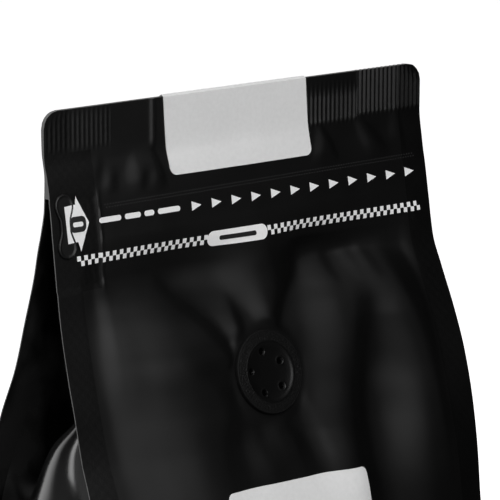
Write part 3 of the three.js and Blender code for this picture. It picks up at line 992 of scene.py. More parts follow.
@dataclass(frozen=True)
class FilmFinish:
    """Laminated film: matt on the panels, knurled on the seals, glossier in the gussets, with a painted sheen
    in the gussets and a painted highlight on the cut edges.
    """

    kind: FilmKind
    colour: float
    rough_low: float
    rough_high: float
    gloss: float = 0.5

    def make(self) -> bpy.types.Material:
        """Build the material.

        Returns:
            The finished material.
        """
        bench = Bench(f"film_{self.kind.value}")
        bench.set(Specular_IOR_Level=self.gloss)
        clouds = bench.noise(bench.place, 90, 4)
        bench.link(bench.ramp(clouds, self.colour * 0.85, self.colour * 1.2), "Base Color")
        bench.link(bench.between(clouds, self.rough_low, self.rough_high), "Roughness")
        relief = {FilmKind.PANEL: self.matt, FilmKind.SEAL: self.knurled, FilmKind.GUSSET: self.creases_and_painted_sheen}
        if self.kind in relief:
            relief[self.kind](bench)
        return bench.material

    def matt(self, bench: Bench) -> None:
        """Give the panels the fine tooth of matt film."""
        fine = bench.noise(bench.place, 2600, 2)
        bench.bump(bench.add(fine, bench.noise(bench.place, 420, 2), 2.5), 0.006)

    def knurled(self, bench: Bench) -> None:
        """Give the seals the crossed lines of the sealing bars.

        Args:
            bench: The material's bench.
        """
        right = bench.wave(bench.scaled(1, 0.3, 1, 38), 150, 1.4)
        left = bench.wave(bench.scaled(1, 0.3, 1, -52), 150, 1.4)
        grain = bench.noise(bench.place, 1700, 2)
        bench.bump(bench.add(grain, bench.add(right, left, 0.8), 0.3), 0.06, 0.8)

    def creases_and_painted_sheen(self, bench: Bench) -> None:
        """Give the gussets upright creases and a painted sheen: lighter and darker blotches in the base
        colour that stand in for reflections and bounce light.

        Args:
            bench: The material's bench.
        """
        # painted sheen: blotches from 0.3 to 1.9 times the base colour stand in for reflections and bounce
        # light in the gusset folds
        painted_sheen_patches = bench.noise(bench.scaled(1.0, 1.0, 0.45), 75, 3)
        bench.link(bench.ramp(painted_sheen_patches, self.colour * 0.3, self.colour * 1.9, 0.42, 0.6), "Base Color")
        streak = bench.noise(bench.scaled(1.0, 1.0, 0.12), 260, 3)
        bench.bump(bench.add(streak, bench.noise(bench.place, 45, 2), 3.0), 0.05, 0.6)


@dataclass(frozen=True)
class PaperFinish:
    """Uncoated label paper with faint fibres."""

    name: str = "label_paper"
    colour: float = 0.8

    def make(self) -> bpy.types.Material:
        """Build the material.

        Returns:
            The finished material.
        """
        bench = Bench(self.name)
        bench.set(Roughness=0.72, Specular_IOR_Level=0.3)
        fibres = bench.add(bench.noise(bench.place, 900, 4), bench.noise(bench.place, 60, 2), 0.5)
        bench.link(bench.ramp(fibres, self.colour * 0.97, self.colour * 1.02, 0.55, 0.95), "Base Color")
        bench.bump(fibres, 0.012, 0.7)
        return bench.material


@dataclass(frozen=True)
class InkFinish:
    """Opaque ink printed on the film, white unless another shade is named."""

    name: str = "white_ink"
    colour: float = 0.93

    def make(self) -> bpy.types.Material:
        """Build the material.

        Returns:
            The finished material.
        """
        bench = Bench(self.name)
        bench.set(Roughness=0.6, Specular_IOR_Level=0.3)
        spots = bench.noise(bench.place, 1500, 3)
        bench.link(bench.ramp(spots, self.colour * 0.97, min(self.colour * 1.02, 1)), "Base Color")
        bench.bump(spots, 0.004, 0.5)
        return bench.material


@dataclass(frozen=True)
class MouldedFinish:
    """Moulded plastic of the valve: knurled on the ring, smooth in the dish."""

    name: str
    colour: float
    rough: float
    grain: float
    gloss: float

    def make(self) -> bpy.types.Material:
        """Build the material.

        Returns:
            The finished material.
        """
        bench = Bench(self.name)
        bench.set(Specular_IOR_Level=self.gloss)
        grain = bench.noise(bench.place, 2300, 3, 0.7)
        bench.link(bench.ramp(grain, self.colour * 0.7, self.colour * 1.4), "Base Color")
        worn = bench.noise(bench.place, 300, 2)
        bench.link(bench.between(worn, self.rough * 0.9, self.rough * 1.1), "Roughness")
        bench.bump(grain, self.grain)
        return bench.material


# ---------------------------------------------------------------- the film


Row = dict[str, list[int]]
SLOT_ORDER = (FilmKind.PANEL, FilmKind.SEAL, FilmKind.GUSSET, FilmKind.CUT_EDGE)


@dataclass
class FilmBag:
    """The bag: two big panels, two folded gussets, welded seals and a flat base, as one closed skin.

    It is lofted down through levels. Above slot_top the two panels are welded to each other;
    below it the gussets stand open between them.
    """

    fine_steps: int = 512
    front_steps: int = 256
    back_steps: int = 128
    gusset_steps: int = 44
    slot_top: float = 22.0
    base_round: float = 1.6
    half_step: float = 0.4
    top_drops: tuple[float, ...] = (
        0, 0.3, 0.8, 1.6, 2.8, 4.5, 6, 7.5, 9, 9.8, 10.4, 11, 11.6, 12.2, 12.8, 13.4, 14)
    stretches: tuple[tuple[float, float, float], ...] = ((14.8, 60, 0.8), (60.2, 104, 1.1), (105, 205, 2.4))
    piece: bpy.types.Object | None = None
    points: list[np.ndarray] = field(default_factory=list)
    faces: list[list[int]] = field(default_factory=list)
    slots: list[int] = field(default_factory=list)
    count: int = 0

    def columns(self, steps: int, drop: float, inset: float) -> np.ndarray:
        """Spread places across a panel, squeezed where the top corners are round.

        Args:
            steps: Steps across the panel.
            drop: How far below the top edge.
            inset: How far the ends are drawn in.

        Returns:
            The places, from left to right.
        """
        even = np.linspace(-POUCH.half, POUCH.half, steps + 1)
        reach = float(POUCH.half_width(np.array(drop))) - inset
        outer = np.clip((np.abs(even) - POUCH.root) / POUCH.seal, 0, 1)
        return np.where(outer > 0, np.sign(even) * (POUCH.root + outer * (reach - POUCH.root)), even)

    def add(self, points: np.ndarray) -> list[int]:
        """Store points.

        Args:
            points: Points of the frame.

        Returns:
            Their numbers.
        """
        self.points.append(points)
        start, self.count = self.count, self.count + len(points)
        return list(range(start, self.count))

    def face(self, corners: Iterable[int], finish: FilmKind) -> None:
        """Store one face, leaving out corners that repeat.

        Args:
            corners: Numbers of its points in order.
            finish: Its finish.
        """
        unique = list(dict.fromkeys(corners))
        if len(unique) > 2:
            self.faces.append(unique)
            self.slots.append(SLOT_ORDER.index(finish))

    def level(self, drop: float, front: int, back: int, slotted: bool, inset: float = 0.0) -> Row:
        """Add the points of one level.

        Args:
            drop: How far below the top edge the level is.
            front: Steps across the front panel.
            back: Steps across the back panel.
            slotted: Whether the gussets are open here.
            inset: How far the level is drawn in.

        Returns:
            The numbers of the points of each stretch of the outline.
        """
        row: Row = {}
        for key, steps, face, sign in (("front", front, POUCH.front, 1), ("back", back, POUCH.back, -1)):
            x = self.columns(steps, drop, inset)
            row[key] = self.add(place(x, sign * (face(x, np.full_like(x, drop)) - inset), drop))
            ends = np.array([x[0], x[-1]])
            out = face(ends, np.full(2, drop)) - inset
            other = (POUCH.back if sign == 1 else POUCH.front)(ends, np.full(2, drop)) - inset
            thin = np.minimum(POUCH.film, (out + other) * 0.3)
            row[key + "_edge"] = self.add(place(ends, sign * (out - thin), drop))
        if slotted:
            along = np.linspace(-1, 1, self.gusset_steps + 1)
            for key, side in (("left", -1.0), ("right", 1.0)):
                x, y = POUCH.gusset(side, np.full_like(along, drop), along, np.full_like(along, inset))
                row[key] = self.add(place(x, -y, drop))
        return row

    def band(self, up: list[int], low: list[int], finish: Callable[[float], FilmKind], flip: bool) -> None:
        """Join a stretch of one level to the same stretch of the next.

        Args:
            up: Points of the upper level.
            low: Points of the lower level, as many or fewer by a whole ratio.
            finish: Gives the finish for a place from 0 to 1 along the stretch.
            flip: Whether to turn the faces over.
        """
        ratio = (len(up) - 1) // (len(low) - 1)
        for j in range(len(low) - 1):
            above = up[j * ratio:(j + 1) * ratio + 1]
            corners = above[::-1] + [low[j], low[j + 1]]
            self.face(corners[::-1] if flip else corners, finish((j + 0.5) / (len(low) - 1)))

    def join(self, up: Row, low: Row, middle: float) -> None:
        """Join two levels all the way round.

        Args:
            up: The upper level.
            low: The lower level.
            middle: The drop about half-way between them.
        """
        def back(t: float) -> FilmKind:
            """Pick panel or seal film for a place from 0 to 1 across the back."""
            share = POUCH.seal / POUCH.width
            return FilmKind.SEAL if t < share or t > 1 - share else FilmKind.PANEL

        def front(t: float) -> FilmKind:
            """Pick panel or seal film across the front, where the weld pad is knurled too."""
            padded = (t - 0.5) * POUCH.width < POUCH.pad.right and 11.0 < middle < POUCH.pad.bottom
            return FilmKind.SEAL if padded else back(t)

        self.band(up["front"], low["front"], front, False)
        self.band(up["back"], low["back"], back, True)
        for end, side, turned in ((0, "left", True), (1, "right", False)):
            for inner, outer in (("front", "front_edge"), ("back_edge", "back")):
                top, foot = ([row[inner][-end], row[outer][-end]] for row in (up, low))
                self.band(top, foot, lambda t: FilmKind.CUT_EDGE, turned)
            open_here = side in up and side in low
            kind = FilmKind.GUSSET if open_here else FilmKind.CUT_EDGE
            top, foot = ([row["front_edge"][end], *(row[side] if open_here else ()), row["back_edge"][end]]
                         for row in (up, low))
            self.band(top, foot, lambda t: kind, turned)

    def ceiling(self, row: Row, side: str, end: int) -> None:
        """Close the top of a gusset's fold at the level where it starts.

        Args:
            row: The first level with open gussets.
            side: The gusset.
            end: 0 at the left, 1 at the right.
        """
        line = [row["front_edge"][end], *row[side], row["back_edge"][end]]
        i, j = 0, len(line) - 1
        while j - i > 1:
            corners = [line[i], line[i + 1], line[j - 1], line[j]]
            self.face(corners if end else corners[::-1], FilmKind.GUSSET)
            i, j = i + 1, j - 1

    def top_edge(self, row: Row) -> None:
        """Close the top edge between the two panels.

        Args:
            row: The highest level.
        """
        front, back = row["front"], row["back"]
        last = len(back) - 2
        ratio = (len(front) - 1) // (len(back) - 1)
        for j in range(last + 1):
            far = [back[j + 1], back[j]]
            if j == 0:
                far += [row["back_edge"][0], row["front_edge"][0]]
            if j == last:
                far = [row["front_edge"][1], row["back_edge"][1], *far]
            self.face(front[j * ratio:(j + 1) * ratio + 1] + far, FilmKind.CUT_EDGE)

    def base(self, row: Row) -> None:
        """Close the flat base.

        Args:
            row: The lowest level.
        """
        outline = [*row["front"], row["front_edge"][1], *row["right"], row["back_edge"][1],
                   *row["back"][::-1], row["back_edge"][0], *row["left"][::-1], row["front_edge"][0]]
        self.face(outline[::-1], FilmKind.PANEL)

    def lower_levels(self) -> list[Point]:
        """List the levels below the top seal.

        Returns:
            Pairs of a drop and how far the level is drawn in.
        """
        drops = [*np.concatenate([np.arange(*stretch) for stretch in self.stretches]), self.stretches[-1][1]]
        foot = POUCH.height
        rounded = [(foot - self.base_round, 0.0), (foot - 0.9, 0.2), (foot - 0.35, 0.7)]
        return [(float(drop), 0.0) for drop in drops] + [*rounded, (foot, self.base_round)]

    def build(self) -> bpy.types.Object:
        """Make the skin's mesh.

        Returns:
            The film of the bag.
        """
        above = None
        for drop in self.top_drops:
            row = self.level(float(drop), self.fine_steps, self.fine_steps, False)
            if above is None:
                self.top_edge(row)
            else:
                self.join(above, row, drop - self.half_step)
            above = row
        for drop, inset in self.lower_levels():
            slotted = drop > self.slot_top
            row = self.level(drop, self.front_steps, self.back_steps, slotted, inset)
            self.join(above, row, drop - self.half_step)
            if slotted and "left" not in above:
                self.ceiling(row, "left", 0)
                self.ceiling(row, "right", 1)
            above = row
        self.base(above)
        self.piece = new_mesh("pouch_film", np.concatenate(self.points), self.faces, 32)
        self.piece.data.polygons.foreach_set("material_index", self.slots)
        return self.piece

    def dress(self, finishes: dict[FilmKind, bpy.types.Material]) -> None:
        """Give each part of the film its finish.

        Args:
            finishes: A material for every kind of film.
        """
        for kind in SLOT_ORDER:
            self.piece.data.materials.append(finishes[kind])
        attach(self.piece, "root")
        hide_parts("pouch")


# ---------------------------------------------------------------- labels, valve, tab and print


@dataclass
class TopLabel:
    """The paper label folded over the top seal."""

    left: float = -25.1
    right: float = 22.9
    drop: float = 20.4
    corner: float = 2.0
    thickness: float = 0.2
    over: float = 0.9
    slant: float = 0.062
    piece: bpy.types.Object | None = None

    def wrap(self, across: Places, along: Places, lift: Places) -> Places:
        """Lay the flat label over the top edge: front below it on one side, back on the other.

        Args:
            across: Places across.
            along: Distance from the fold, front positive.
            lift: Height over the film.

        Returns:
            Points of the frame.
        """
        drop = np.maximum(np.abs(along) - self.over, 0)
        waves = 0.06 * ripple(across, drop * 0.6, 12.0, 21) * smooth(drop / 6)
        across = across + self.slant * drop
        front = POUCH.front(across, drop, False) + lift + np.maximum(waves, -0.03)
        back = POUCH.back(across, drop, False) + lift
        turn = np.clip(along / self.over, -1, 1) * math.pi / 2
        thick = np.where(along > 0, front, back)
        rise = np.cos(turn) * (0.25 + lift)
        return place(across, np.sin(turn) * thick, np.where(np.abs(along) < self.over, -rise, drop))

    def build(self) -> bpy.types.Object:
        """Make the label.

        Returns:
            The label's object.
        """
        reach = self.drop + self.over
        outline = rounded_box(self.left, self.right, -reach, reach, self.corner, 8)
        self.piece = laid_sheet("top_label_paper", [outline], 0.9, self.thickness, self.wrap, 0.3)
        return self.piece

    def dress(self, paper: bpy.types.Material) -> None:
        """Give the label its paper.

        Args:
            paper: The paper's material.
        """
        self.piece.data.materials.append(paper)
        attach(self.piece, "root")
        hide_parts("top_label")


@dataclass
class FrontLabel:
    """The paper label stuck on the front panel."""

    left: float = LABEL_SPAN.left
    right: float = LABEL_SPAN.right
    top: float = LABEL_SPAN.top
    bottom: float = LABEL_SPAN.bottom
    corner: float = 2.0
    thickness: float = 0.2
    piece: bpy.types.Object | None = None

    def build(self) -> bpy.types.Object:
        """Make the label so that it bends with the film under it.

        Returns:
            The label's object.
        """
        outline = rounded_box(self.left, self.right, self.top, self.bottom, self.corner, 8)
        self.piece = laid_sheet("front_label_paper", [outline], 1.2, self.thickness, on_calm_front, 0.3)
        return self.piece

    def dress(self, paper: bpy.types.Material) -> None:
        """Give the label its paper.

        Args:
            paper: The paper's material.
        """
        self.piece.data.materials.append(paper)
        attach(self.piece, "root")
        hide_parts("front_label")


@dataclass
class Valve:
    """The round degassing valve: a knurled ring, a dished disc and five pinholes."""

    inner: float = 8.0
    holes: tuple[Point, ...] = ((-1.3, 5.6), (4.3, 2.3), (-6.2, 0.9), (3.4, -4.2), (-3.0, -5.2))
    hole_radius: float = 0.85
    hole_floor: float = 0.08
    teeth: int = 66
    tooth: float = 0.04
    grain: float = 0.17
    turns: int = 264
    foot: float = -0.15
    outline: Curve = Curve((
        (0, 0.5), (3, 0.54), (5.5, 0.72), (7.0, 1.0), (7.8, 1.32), (8.1, 1.36), (8.35, 1.2), (8.6, 1.16),
        (10.3, 1.1), (10.55, 1.06), (10.85, 1.2), (11.05, 1.05), (11.15, 0.6), (11.2, 0.2)))
    piece: bpy.types.Object | None = None

    @property
    def radius(self) -> float:
        """Radius over the ring."""
        return POUCH.valve_radius

    def height(self, r: np.ndarray, turn: np.ndarray) -> np.ndarray:
        """Shape the valve's face: its turned outline, the ring's grain and the pinholes.

        Args:
            r: Distances from the middle.
            turn: Angles round it.

        Returns:
            Heights over the film.
        """
        high = self.outline(r)
        start, end = self.inner + 0.15, self.radius - 0.35
        ring = smooth((r - start) / 0.3) * smooth((end - r) / 0.3)
        teeth = np.cos(turn * self.teeth) * 0.5 + 0.5
        chance = np.random.default_rng(7)
        high = high + ring * (self.tooth * teeth + self.grain * chance.random(high.shape))
        for hole in self.holes:
            away = np.hypot(r * np.cos(turn) - hole[0], r * np.sin(turn) - hole[1])
            sunk = np.maximum(high - self.hole_floor, 0)
            high = high - sunk * smooth((self.hole_radius + 0.15 - away) / 0.25)
            high = high + 0.08 * hump(away, self.hole_radius + 0.3, 0.2)
        return high

    def skin(self) -> tuple[np.ndarray, list[list[int]]]:
        """Make the valve's points and faces, lying flat with its middle at the origin.

        Returns:
            Points in millimetres, and the corners of each face.
        """
        rim = [self.radius - 0.1, self.radius - 0.03, self.radius]
        radii = np.concatenate([np.arange(0.4, 7.2, 0.17), np.arange(7.2, rim[0], 0.12), rim])
        angle = np.linspace(0, math.tau, self.turns, endpoint=False)
        r, turn = np.meshgrid(radii, angle, indexing="ij")
        top = np.stack([r * np.cos(turn), r * np.sin(turn), self.height(r, turn)], -1).reshape(-1, 3)
        wall = np.stack([self.radius * np.cos(angle), self.radius * np.sin(angle)], -1)
        wall = np.column_stack([wall, np.full(self.turns, self.foot)])
        points = np.concatenate([top, [[0, 0, float(self.outline(0.0))]], wall, [[0, 0, self.foot]]])
        n, edge = self.turns, (len(radii) - 1) * self.turns
        hub, skirt, foot = edge + n, edge + n + 1, edge + n + 1 + n
        faces = []
        for j in range(n):
            k = (j + 1) % n
            faces += [[i + j, i + n + j, i + n + k, i + k] for i in range(0, edge, n)]
            faces += [[hub, j, k], [edge + j, skirt + j, skirt + k, edge + k], [foot, skirt + k, skirt + j]]
        return points, faces

    def seated(self, points: np.ndarray) -> np.ndarray:
        """Set points of the flat valve down on its seat.

        Args:
            points: Points in millimetres from the valve's middle.

        Returns:
            Points of the frame, in metres.
        """
        across = POUCH.valve_across + np.array([0, 1, 0])
        drop = POUCH.valve_drop - np.array([0, 0, 1])
        middle, right, up = place(across, POUCH.front(across, drop, False), drop) / MM
        right, up = right - middle, up - middle
        right = right / np.linalg.norm(right)
        out = np.cross(right, up)
        out = out / np.linalg.norm(out)
        return (middle + points @ np.stack([right, np.cross(out, right), out])) * MM

    def finish_at(self, corners: np.ndarray) -> int:
        """Pick the plastic of one face.

        Args:
            corners: The face's corners on the flat valve.

        Returns:
            0 for the ring, 1 for the disc and 2 for a pinhole.
        """
        middle = corners.mean(0)
        if any(math.hypot(middle[0] - x, middle[1] - y) < self.hole_radius for x, y in self.holes):
            return 2
        return 0 if np.hypot(corners[:, 0], corners[:, 1]).mean() > self.inner + 0.25 else 1

    def build(self) -> bpy.types.Object:
        """Make the valve on its seat.

        Returns:
            The valve's object.
        """
        points, faces = self.skin()
        self.piece = new_mesh("valve_body", self.seated(points), faces, 50)
        for polygon in self.piece.data.polygons:
            polygon.material_index = self.finish_at(points[list(polygon.vertices)])
        return self.piece

    def dress(self, ring: bpy.types.Material, disc: bpy.types.Material, hole: bpy.types.Material) -> None:
        """Give the valve its plastics.

        Args:
            ring: Plastic of the knurled ring.
            disc: Plastic of the dish.
            hole: Plastic down in the pinholes, a little darker than the disc as painted shade in the holes.
        """
        for finish in (ring, disc, hole):
            self.piece.data.materials.append(finish)
        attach(self.piece, "root")
        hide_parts("valve")


def bone(across: float, drop: float, length: float, lobe: float, waist: float) -> list[Point]:
    """Return an outline with a round lobe at each end and a narrow waist.

    Args:
        across: Middle of the outline.
        drop: Middle of the outline.
        length: Distance over both lobes.
        lobe: Radius of the lobes.
        waist: Half the width at the waist.

    Returns:
        The outline's points in order.
    """
    reach = length / 2
    side = []
    for t in np.linspace(-1, 1, 49):
        away = reach - abs(t) * reach
        cap = math.sqrt(max(lobe**2 - max(lobe - away, 0) ** 2, 0))
        neck = waist + (lobe - waist) * float(smooth((abs(t) - 0.12) / 0.5))
        side.append((min(cap, neck), t * reach))
    right = [(across + w, drop + d) for w, d in side]
    left = [(across - w, drop + d) for w, d in side[::-1]]
    return right + left[1:-1]


@dataclass
class PullTab:
    """The die-cut tab at the end of the pocket zipper, with a raised rim."""

    across: float = -59.4
    drop: float = 29.1
    length: float = 16.4
    lobe: float = 2.85
    waist: float = 1.7
    lift: float = 0.28
    rim: float = 0.32
    rim_inset: float = 0.32
    rim_half: float = 0.26
    thickness: float = 0.34
    piece: bpy.types.Object | None = None

    def build(self) -> bpy.types.Object:
        """Make the tab.

        Returns:
            The tab's object.
        """
        outline = bone(self.across, self.drop, self.length, self.lobe, self.waist)
        start = np.array(outline)[None]
        run = np.roll(start, -1, 1) - start

        def lift(across: Places, drop: Places) -> Places:
            """Lift the tab's face, more along its rim.

            Args:
                across: Places across the panel.
                drop: Places down the panel.

            Returns:
                Heights over the film.
            """
            spots = np.stack([across, drop], -1)[:, None, :]
            t = np.clip(((spots - start) * run).sum(-1) / np.maximum((run**2).sum(-1), 1e-9), 0, 1)
            edge = np.sqrt((((start + t[..., None] * run) - spots) ** 2).sum(-1)).min(1)
            return self.lift + self.rim * hump(edge, self.rim_inset, self.rim_half)

        self.piece = laid_sheet("pull_tab_film", [outline], 0.2, self.thickness, on_calm_front, lift, 60)
        return self.piece

    def dress(self, film: bpy.types.Material) -> None:
        """Give the tab its film.

        Args:
            film: The film's material.
        """
        self.piece.data.materials.append(film)
        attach(self.piece, "root")
        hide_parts("pull_tab")


class Mark(Enum):
    """The kinds of printed mark, each made as one piece."""

    TRIANGLES = "print_triangles"
    CHECKERS = "print_checkers"
    PILL = "print_pill"
    ARROW = "print_arrow"
    BARS = "print_bars"
    TEAR_LINE = "tear_line_dots"
    BADGE = "print_badge"
    BADGE_BAR = "print_badge_bar"
    PILL_BAR = "print_pill_bar"


@dataclass
class Print:
    """The marks on the zipper strip: triangles, checkers, pill, arrow, plain bars and dotted tear line."""

    ink: float = 0.05
    left: float = -56.4
    right: float = 59.9
    checker_drop: float = 38.35
    checker_wide: float = 1.163
    checker_high: float = 1.28
    checker_lean: float = 0.005
    bare: Point = (-14.4, 5.9)
    pill: Box = (-13.5, 6.2, 36.1, 40.1)
    pill_bar: Box = (-9.7, 2.4, 37.5, 38.7)
    badge: Box = (-58.3, -53.1, 26.9, 30.9)
    badge_bar: Box = (-57.3, -54.1, 28.3, 29.5)
    bars: tuple[Point, ...] = ((-48.6, 7.2), (-40.2, 5.2), (-33.8, 3.2), (-29.4, 7.4))
    bar_drops: Point = (28.2, 29.6)
    triangle_count: int = 12
    triangle_first: Point = (-18.1, 28.85)
    triangle_step: Point = (6.72, -0.03)
    triangle_long: float = 3.2
    triangle_half: float = 1.22
    arrow: tuple[Point, ...] = (
        (-59.5, 24.1), (-56.0, 23.9), (-55.7, 21.8), (-52.1, 28.8), (-55.3, 35.8), (-56.0, 33.3),
        (-59.2, 33.5))
    tear_left: float = -46.2
    tear_drop: float = 25.1
    tear_lean: float = 0.011
    tear_pitch: float = 0.9
    tear_rows: float = 0.75
    dot: float = 0.14
    pieces: dict[Mark, bpy.types.Object] = field(default_factory=dict)

    def sheet(self, mark: Mark, outlines: Outlines, grain: float, lift: float = 0.06) -> None:
        """Make one kind of mark from its outlines, with faces no larger than the grain, over the film."""
        self.pieces[mark] = laid_sheet(mark.value, outlines, grain, self.ink, on_front, lift)

    def triangles(self) -> list[list[Point]]:
        """Lay out the triangles that point to the right.

        Returns:
            Their outlines.
        """
        marks = []
        for i in range(self.triangle_count):
            x, d = (first + step * i for first, step in zip(self.triangle_first, self.triangle_step))
            half = self.triangle_half
            marks.append([(x, d - half), (x + self.triangle_long, d), (x, d + half)])
        return marks

    def checkers(self) -> list[list[Point]]:
        """Lay out the two staggered rows of the checkered strip, left bare at the pill.

        Returns:
            Their outlines.
        """
        marks, wide, high = [], self.checker_wide, self.checker_high
        for row in (0, 1):
            for i in range(row, int((self.right - self.left) / wide), 2):
                x = self.left + wide * i
                d = self.checker_drop - self.checker_lean * (x - self.left) + (row - 1) * high
                if not self.bare[0] < x < self.bare[1]:
                    marks.append([(x, d), (x + wide, d), (x + wide, d + high), (x, d + high)])
        return marks

    def tear_dots(self) -> list[list[Point]]:
        """Lay out the two rows of tiny dots along the tear line.

        Returns:
            Their outlines.
        """
        marks = []
        ring = np.linspace(0, math.tau, 8, endpoint=False)
        for row in (0, 1):
            for x in np.arange(self.tear_left + self.tear_pitch / 2 * row, self.right - 0.1, self.tear_pitch):
                d = self.tear_drop - self.tear_lean * (x - self.tear_left) + self.tear_rows * row
                marks.append([(x + self.dot * math.cos(t), d + self.dot * math.sin(t)) for t in ring])
        return marks

    def build(self) -> dict[Mark, bpy.types.Object]:
        """Make all the marks.

        Returns:
            The pieces by kind.
        """
        bars = [rounded_box(x, x + long, *self.bar_drops, 0.65, 4) for x, long in self.bars]
        self.sheet(Mark.TRIANGLES, self.triangles(), 0.7)
        self.sheet(Mark.CHECKERS, self.checkers(), 0.6)
        self.sheet(Mark.PILL, [rounded_box(*self.pill, 1.9, 8)], 0.7, 0.09)
        self.sheet(Mark.ARROW, [self.arrow], 0.4, 0.62)
        self.sheet(Mark.BARS, bars, 0.7)
        self.sheet(Mark.TEAR_LINE, self.tear_dots(), 0.6, 0.03)
        self.sheet(Mark.BADGE, [rounded_box(*self.badge, 1.4, 6)], 0.4, 0.7)
        self.sheet(Mark.BADGE_BAR, [rounded_box(*self.badge_bar, 0.5, 4)], 0.4, 0.76)
        self.sheet(Mark.PILL_BAR, [rounded_box(*self.pill_bar, 0.55, 4)], 0.7, 0.15)
        return self.pieces

    def dress(self, ink: bpy.types.Material, dark: bpy.types.Material, pressed: bpy.types.Material) -> None:
        """Give every mark its ink.

        Args:
            ink: White ink of most marks.
            dark: Dark ink of the badge on the arrow and the bar on the pill.
            pressed: Finish of the tear line's dots.
        """
        finish = {Mark.BADGE: dark, Mark.PILL_BAR: dark, Mark.TEAR_LINE: pressed}
        for mark, piece in self.pieces.items():
            piece.data.materials.append(finish.get(mark, ink))
            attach(piece, "root")


# ---------------------------------------------------------------- floor, light and camera


class Glow(Enum):
    """What a light lends to the pouch: its soft shading, its sheen, or both."""

    BOTH = "both"
    SHEEN = "sheen"
    SHADE = "shade"


@dataclass(frozen=True)
class Softbox:
    """A soft rectangular light."""

    name: str
    azimuth: float
    elevation: float
    distance: float
    width: float
    height: float
    power: float
    glow: Glow = Glow.BOTH

    def place(self, aim: Vector) -> bpy.types.Object:
        """Put the light round the pouch.

        Args:
            aim: The point it faces.

        Returns:
            The light.
        """
        data = bpy.data.lights.new(self.name, "AREA")
        data.shape = "RECTANGLE"
        data.size, data.size_y, data.energy = self.width, self.height, self.power
        lamp = bpy.data.objects.new(self.name, data)
        turn, lift = math.radians(self.azimuth), math.radians(self.elevation)
        away = Vector((math.sin(turn) * math.cos(lift), -math.cos(turn) * math.cos(lift), math.sin(lift)))
        lamp.location = aim + away * self.distance
        lamp.rotation_euler = (-away).to_track_quat("-Z", "Y").to_euler()
        lamp.visible_diffuse = self.glow is not Glow.SHEEN
        lamp.visible_glossy = self.glow is not Glow.SHADE
        bpy.context.scene.collection.objects.link(lamp)
        return lamp


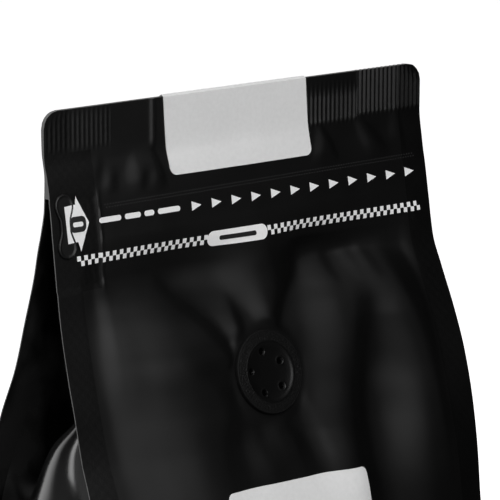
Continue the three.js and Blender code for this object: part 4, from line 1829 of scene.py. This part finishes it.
@dataclass
class Studio:
    """A pale floor, soft light from the left and a bright wall behind."""

    wall: float = 2.0
    front: float = 0.012
    below: float = 0.1
    wall_facing: tuple[float, float, float] = (0.05, 1.0, 0.0)
    wall_edge: Point = (0.79, 0.95)
    below_edge: Point = (-0.03, -0.3)
    floor_size: float = 60.0
    floor_glow: float = 0.9
    aim_across: float = 5.17
    aim_drop: float = 44.13
    yaw: float = 40.0
    pitch: float = 12.0
    roll: float = 0.629
    distance: float = 1.21
    lens: float = 331.94
    sensor: float = 36.0
    light_aim: float = 0.12
    boxes: tuple[Softbox, ...] = (
        Softbox("main_softbox", -19, 37, 1.2, 0.7, 0.8, 4.9),
        Softbox("paper_fill", -19, 37, 1.2, 0.7, 0.8, 7.2, Glow.SHADE),
        Softbox("top_softbox", 10, 82, 1.0, 0.6, 0.6, 1.5),
        Softbox("side_strip", -108, 14, 1.2, 0.22, 0.9, 3.6),
        Softbox("left_fill", -78, 8, 1.5, 1.2, 1.2, 2.5),
        Softbox("near_sheen", -30, 34, 0.22, 0.15, 0.2, 0.40, Glow.SHEEN),
    )

    def world(self) -> None:
        """Make the surroundings bright behind the pouch and dark on the viewer's side."""
        world = bpy.data.worlds.new("studio")
        world.use_nodes = True
        tree = world.node_tree
        tree.nodes.clear()
        where = tree.nodes.new("ShaderNodeTexCoord").outputs["Generated"]

        def eased(value: Socket, span: Point, low: float, high: float) -> Socket:
            """Ease a value from low to high over a span.

            Args:
                value: The value.
                span: Where the change starts and ends.
                low: Result before the span.
                high: Result after it.

            Returns:
                The eased value.
            """
            node = tree.nodes.new("ShaderNodeMapRange")
            node.interpolation_type = "SMOOTHSTEP"
            for name, number in zip(("From Min", "From Max", "To Min", "To Max"), (*span, low, high)):
                node.inputs[name].default_value = number
            tree.links.new(value, node.inputs["Value"])
            return node.outputs["Result"]

        facing = tree.nodes.new("ShaderNodeVectorMath")
        facing.operation = "DOT_PRODUCT"
        facing.inputs[1].default_value = self.wall_facing
        tree.links.new(where, facing.inputs[0])
        parts = tree.nodes.new("ShaderNodeSeparateXYZ")
        tree.links.new(where, parts.inputs[0])
        both = tree.nodes.new("ShaderNodeMath")
        both.operation = "ADD"
        tree.links.new(eased(facing.outputs["Value"], self.wall_edge, self.front, self.wall), both.inputs[0])
        tree.links.new(eased(parts.outputs["Z"], self.below_edge, 0.0, self.below), both.inputs[1])
        glow = tree.nodes.new("ShaderNodeBackground")
        tree.links.new(both.outputs["Value"], glow.inputs["Strength"])
        end = tree.nodes.new("ShaderNodeOutputWorld")
        tree.links.new(glow.outputs["Background"], end.inputs["Surface"])
        bpy.context.scene.world = world

    def floor(self) -> None:
        """Lay a large pale floor under the pouch."""
        bpy.ops.mesh.primitive_plane_add(size=self.floor_size, location=(0, 0, -0.0004))
        plane = bpy.context.object
        plane.name = "floor"
        bench = Bench("pale_floor")
        bench.set(Roughness=0.9, Emission_Color=(1, 1, 1, 1), Emission_Strength=self.floor_glow)
        bench.link(bench.ramp(bench.noise(bench.place, 3, 2), 0.9, 0.93), "Base Color")
        plane.data.materials.append(bench.material)
        plane.visible_glossy = False
        plane.visible_diffuse = False

    def camera(self) -> None:
        """Set the camera at a long lens's distance, front left and a little above."""
        aim = Vector((self.aim_across, 0, POUCH.height - self.aim_drop)) * MM
        yaw, pitch, roll = (math.radians(turn) for turn in (self.yaw, self.pitch, self.roll))
        away = Vector((-math.sin(yaw) * math.cos(pitch), -math.cos(yaw) * math.cos(pitch), math.sin(pitch)))
        forward = -away
        right = forward.cross(Vector((0, 0, 1))).normalized()
        up = right.cross(forward)
        turned = math.cos(roll) * right + math.sin(roll) * up
        above = -math.sin(roll) * right + math.cos(roll) * up
        data = bpy.data.cameras.new("camera")
        data.lens, data.sensor_width = self.lens, self.sensor
        data.clip_end = 50
        data.dof.use_dof = False
        shooter = bpy.data.objects.new("camera", data)
        axes = Matrix((turned, above, away)).transposed().to_4x4()
        shooter.matrix_world = Matrix.Translation(aim + away * self.distance) @ axes
        bpy.context.scene.collection.objects.link(shooter)
        bpy.context.scene.camera = shooter

    def build(self) -> None:
        """Set up the floor, the surroundings, the lights and the camera."""
        self.world()
        self.floor()
        for box in self.boxes:
            box.place(Vector((0, 0, self.light_aim)))
        self.camera()
        bpy.context.scene.view_settings.view_transform = "Standard"


# ---------------------------------------------------------------- putting it together


def main() -> None:
    """Build every sub-assembly in order and report its pieces."""
    logging.basicConfig(level=logging.INFO, format="%(name)s: %(message)s")
    film = {
        FilmKind.PANEL: FilmFinish(FilmKind.PANEL, 0.0012, 0.44, 0.52, 0.25).make(),
        FilmKind.SEAL: FilmFinish(FilmKind.SEAL, 0.0012, 0.48, 0.58, 0.13).make(),
        # the gusset's base colour is raised above the panel film's as painted light, standing in for bounce
        # light in its folds
        FilmKind.GUSSET: FilmFinish(FilmKind.GUSSET, 0.009, 0.12, 0.2).make(),
        # the cut faces' pale grey colour is a painted highlight, the bright line along the film's edges
        FilmKind.CUT_EDGE: FilmFinish(FilmKind.CUT_EDGE, 0.16, 0.5, 0.6).make(),
    }
    paper, ink = PaperFinish().make(), InkFinish().make()
    bag = FilmBag()
    bag.build()
    bag.dress(film)
    top_label, front_label = TopLabel(), FrontLabel()
    for label in (top_label, front_label):
        label.build()
        label.dress(paper)
    valve = Valve()
    valve.build()
    valve.dress(
        ring=MouldedFinish("valve_ring", 0.0016, 0.66, 0.08, 0.13).make(),
        disc=MouldedFinish("valve_disc", 0.0016, 0.4, 0.01, 0.24).make(),
        # the pinholes' darker colour is painted shade in the holes
        hole=MouldedFinish("valve_pinhole_painted_shade", 0.001, 0.9, 0.01, 0.0).make(),
    )
    tab = PullTab()
    tab.build()
    tab.dress(film[FilmKind.PANEL])
    marks = Print()
    marks.build()
    marks.dress(ink, InkFinish("dark_ink", 0.006).make(), InkFinish("pressed_dots", 0.03).make())
    pieces = (bag.piece, top_label.piece, front_label.piece, valve.piece, tab.piece, *marks.pieces.values())
    for piece in pieces:
        LOG.info("%s: %d faces", piece.name, len(piece.data.polygons))
    Studio().build()


if __name__ == "__main__":
    main()
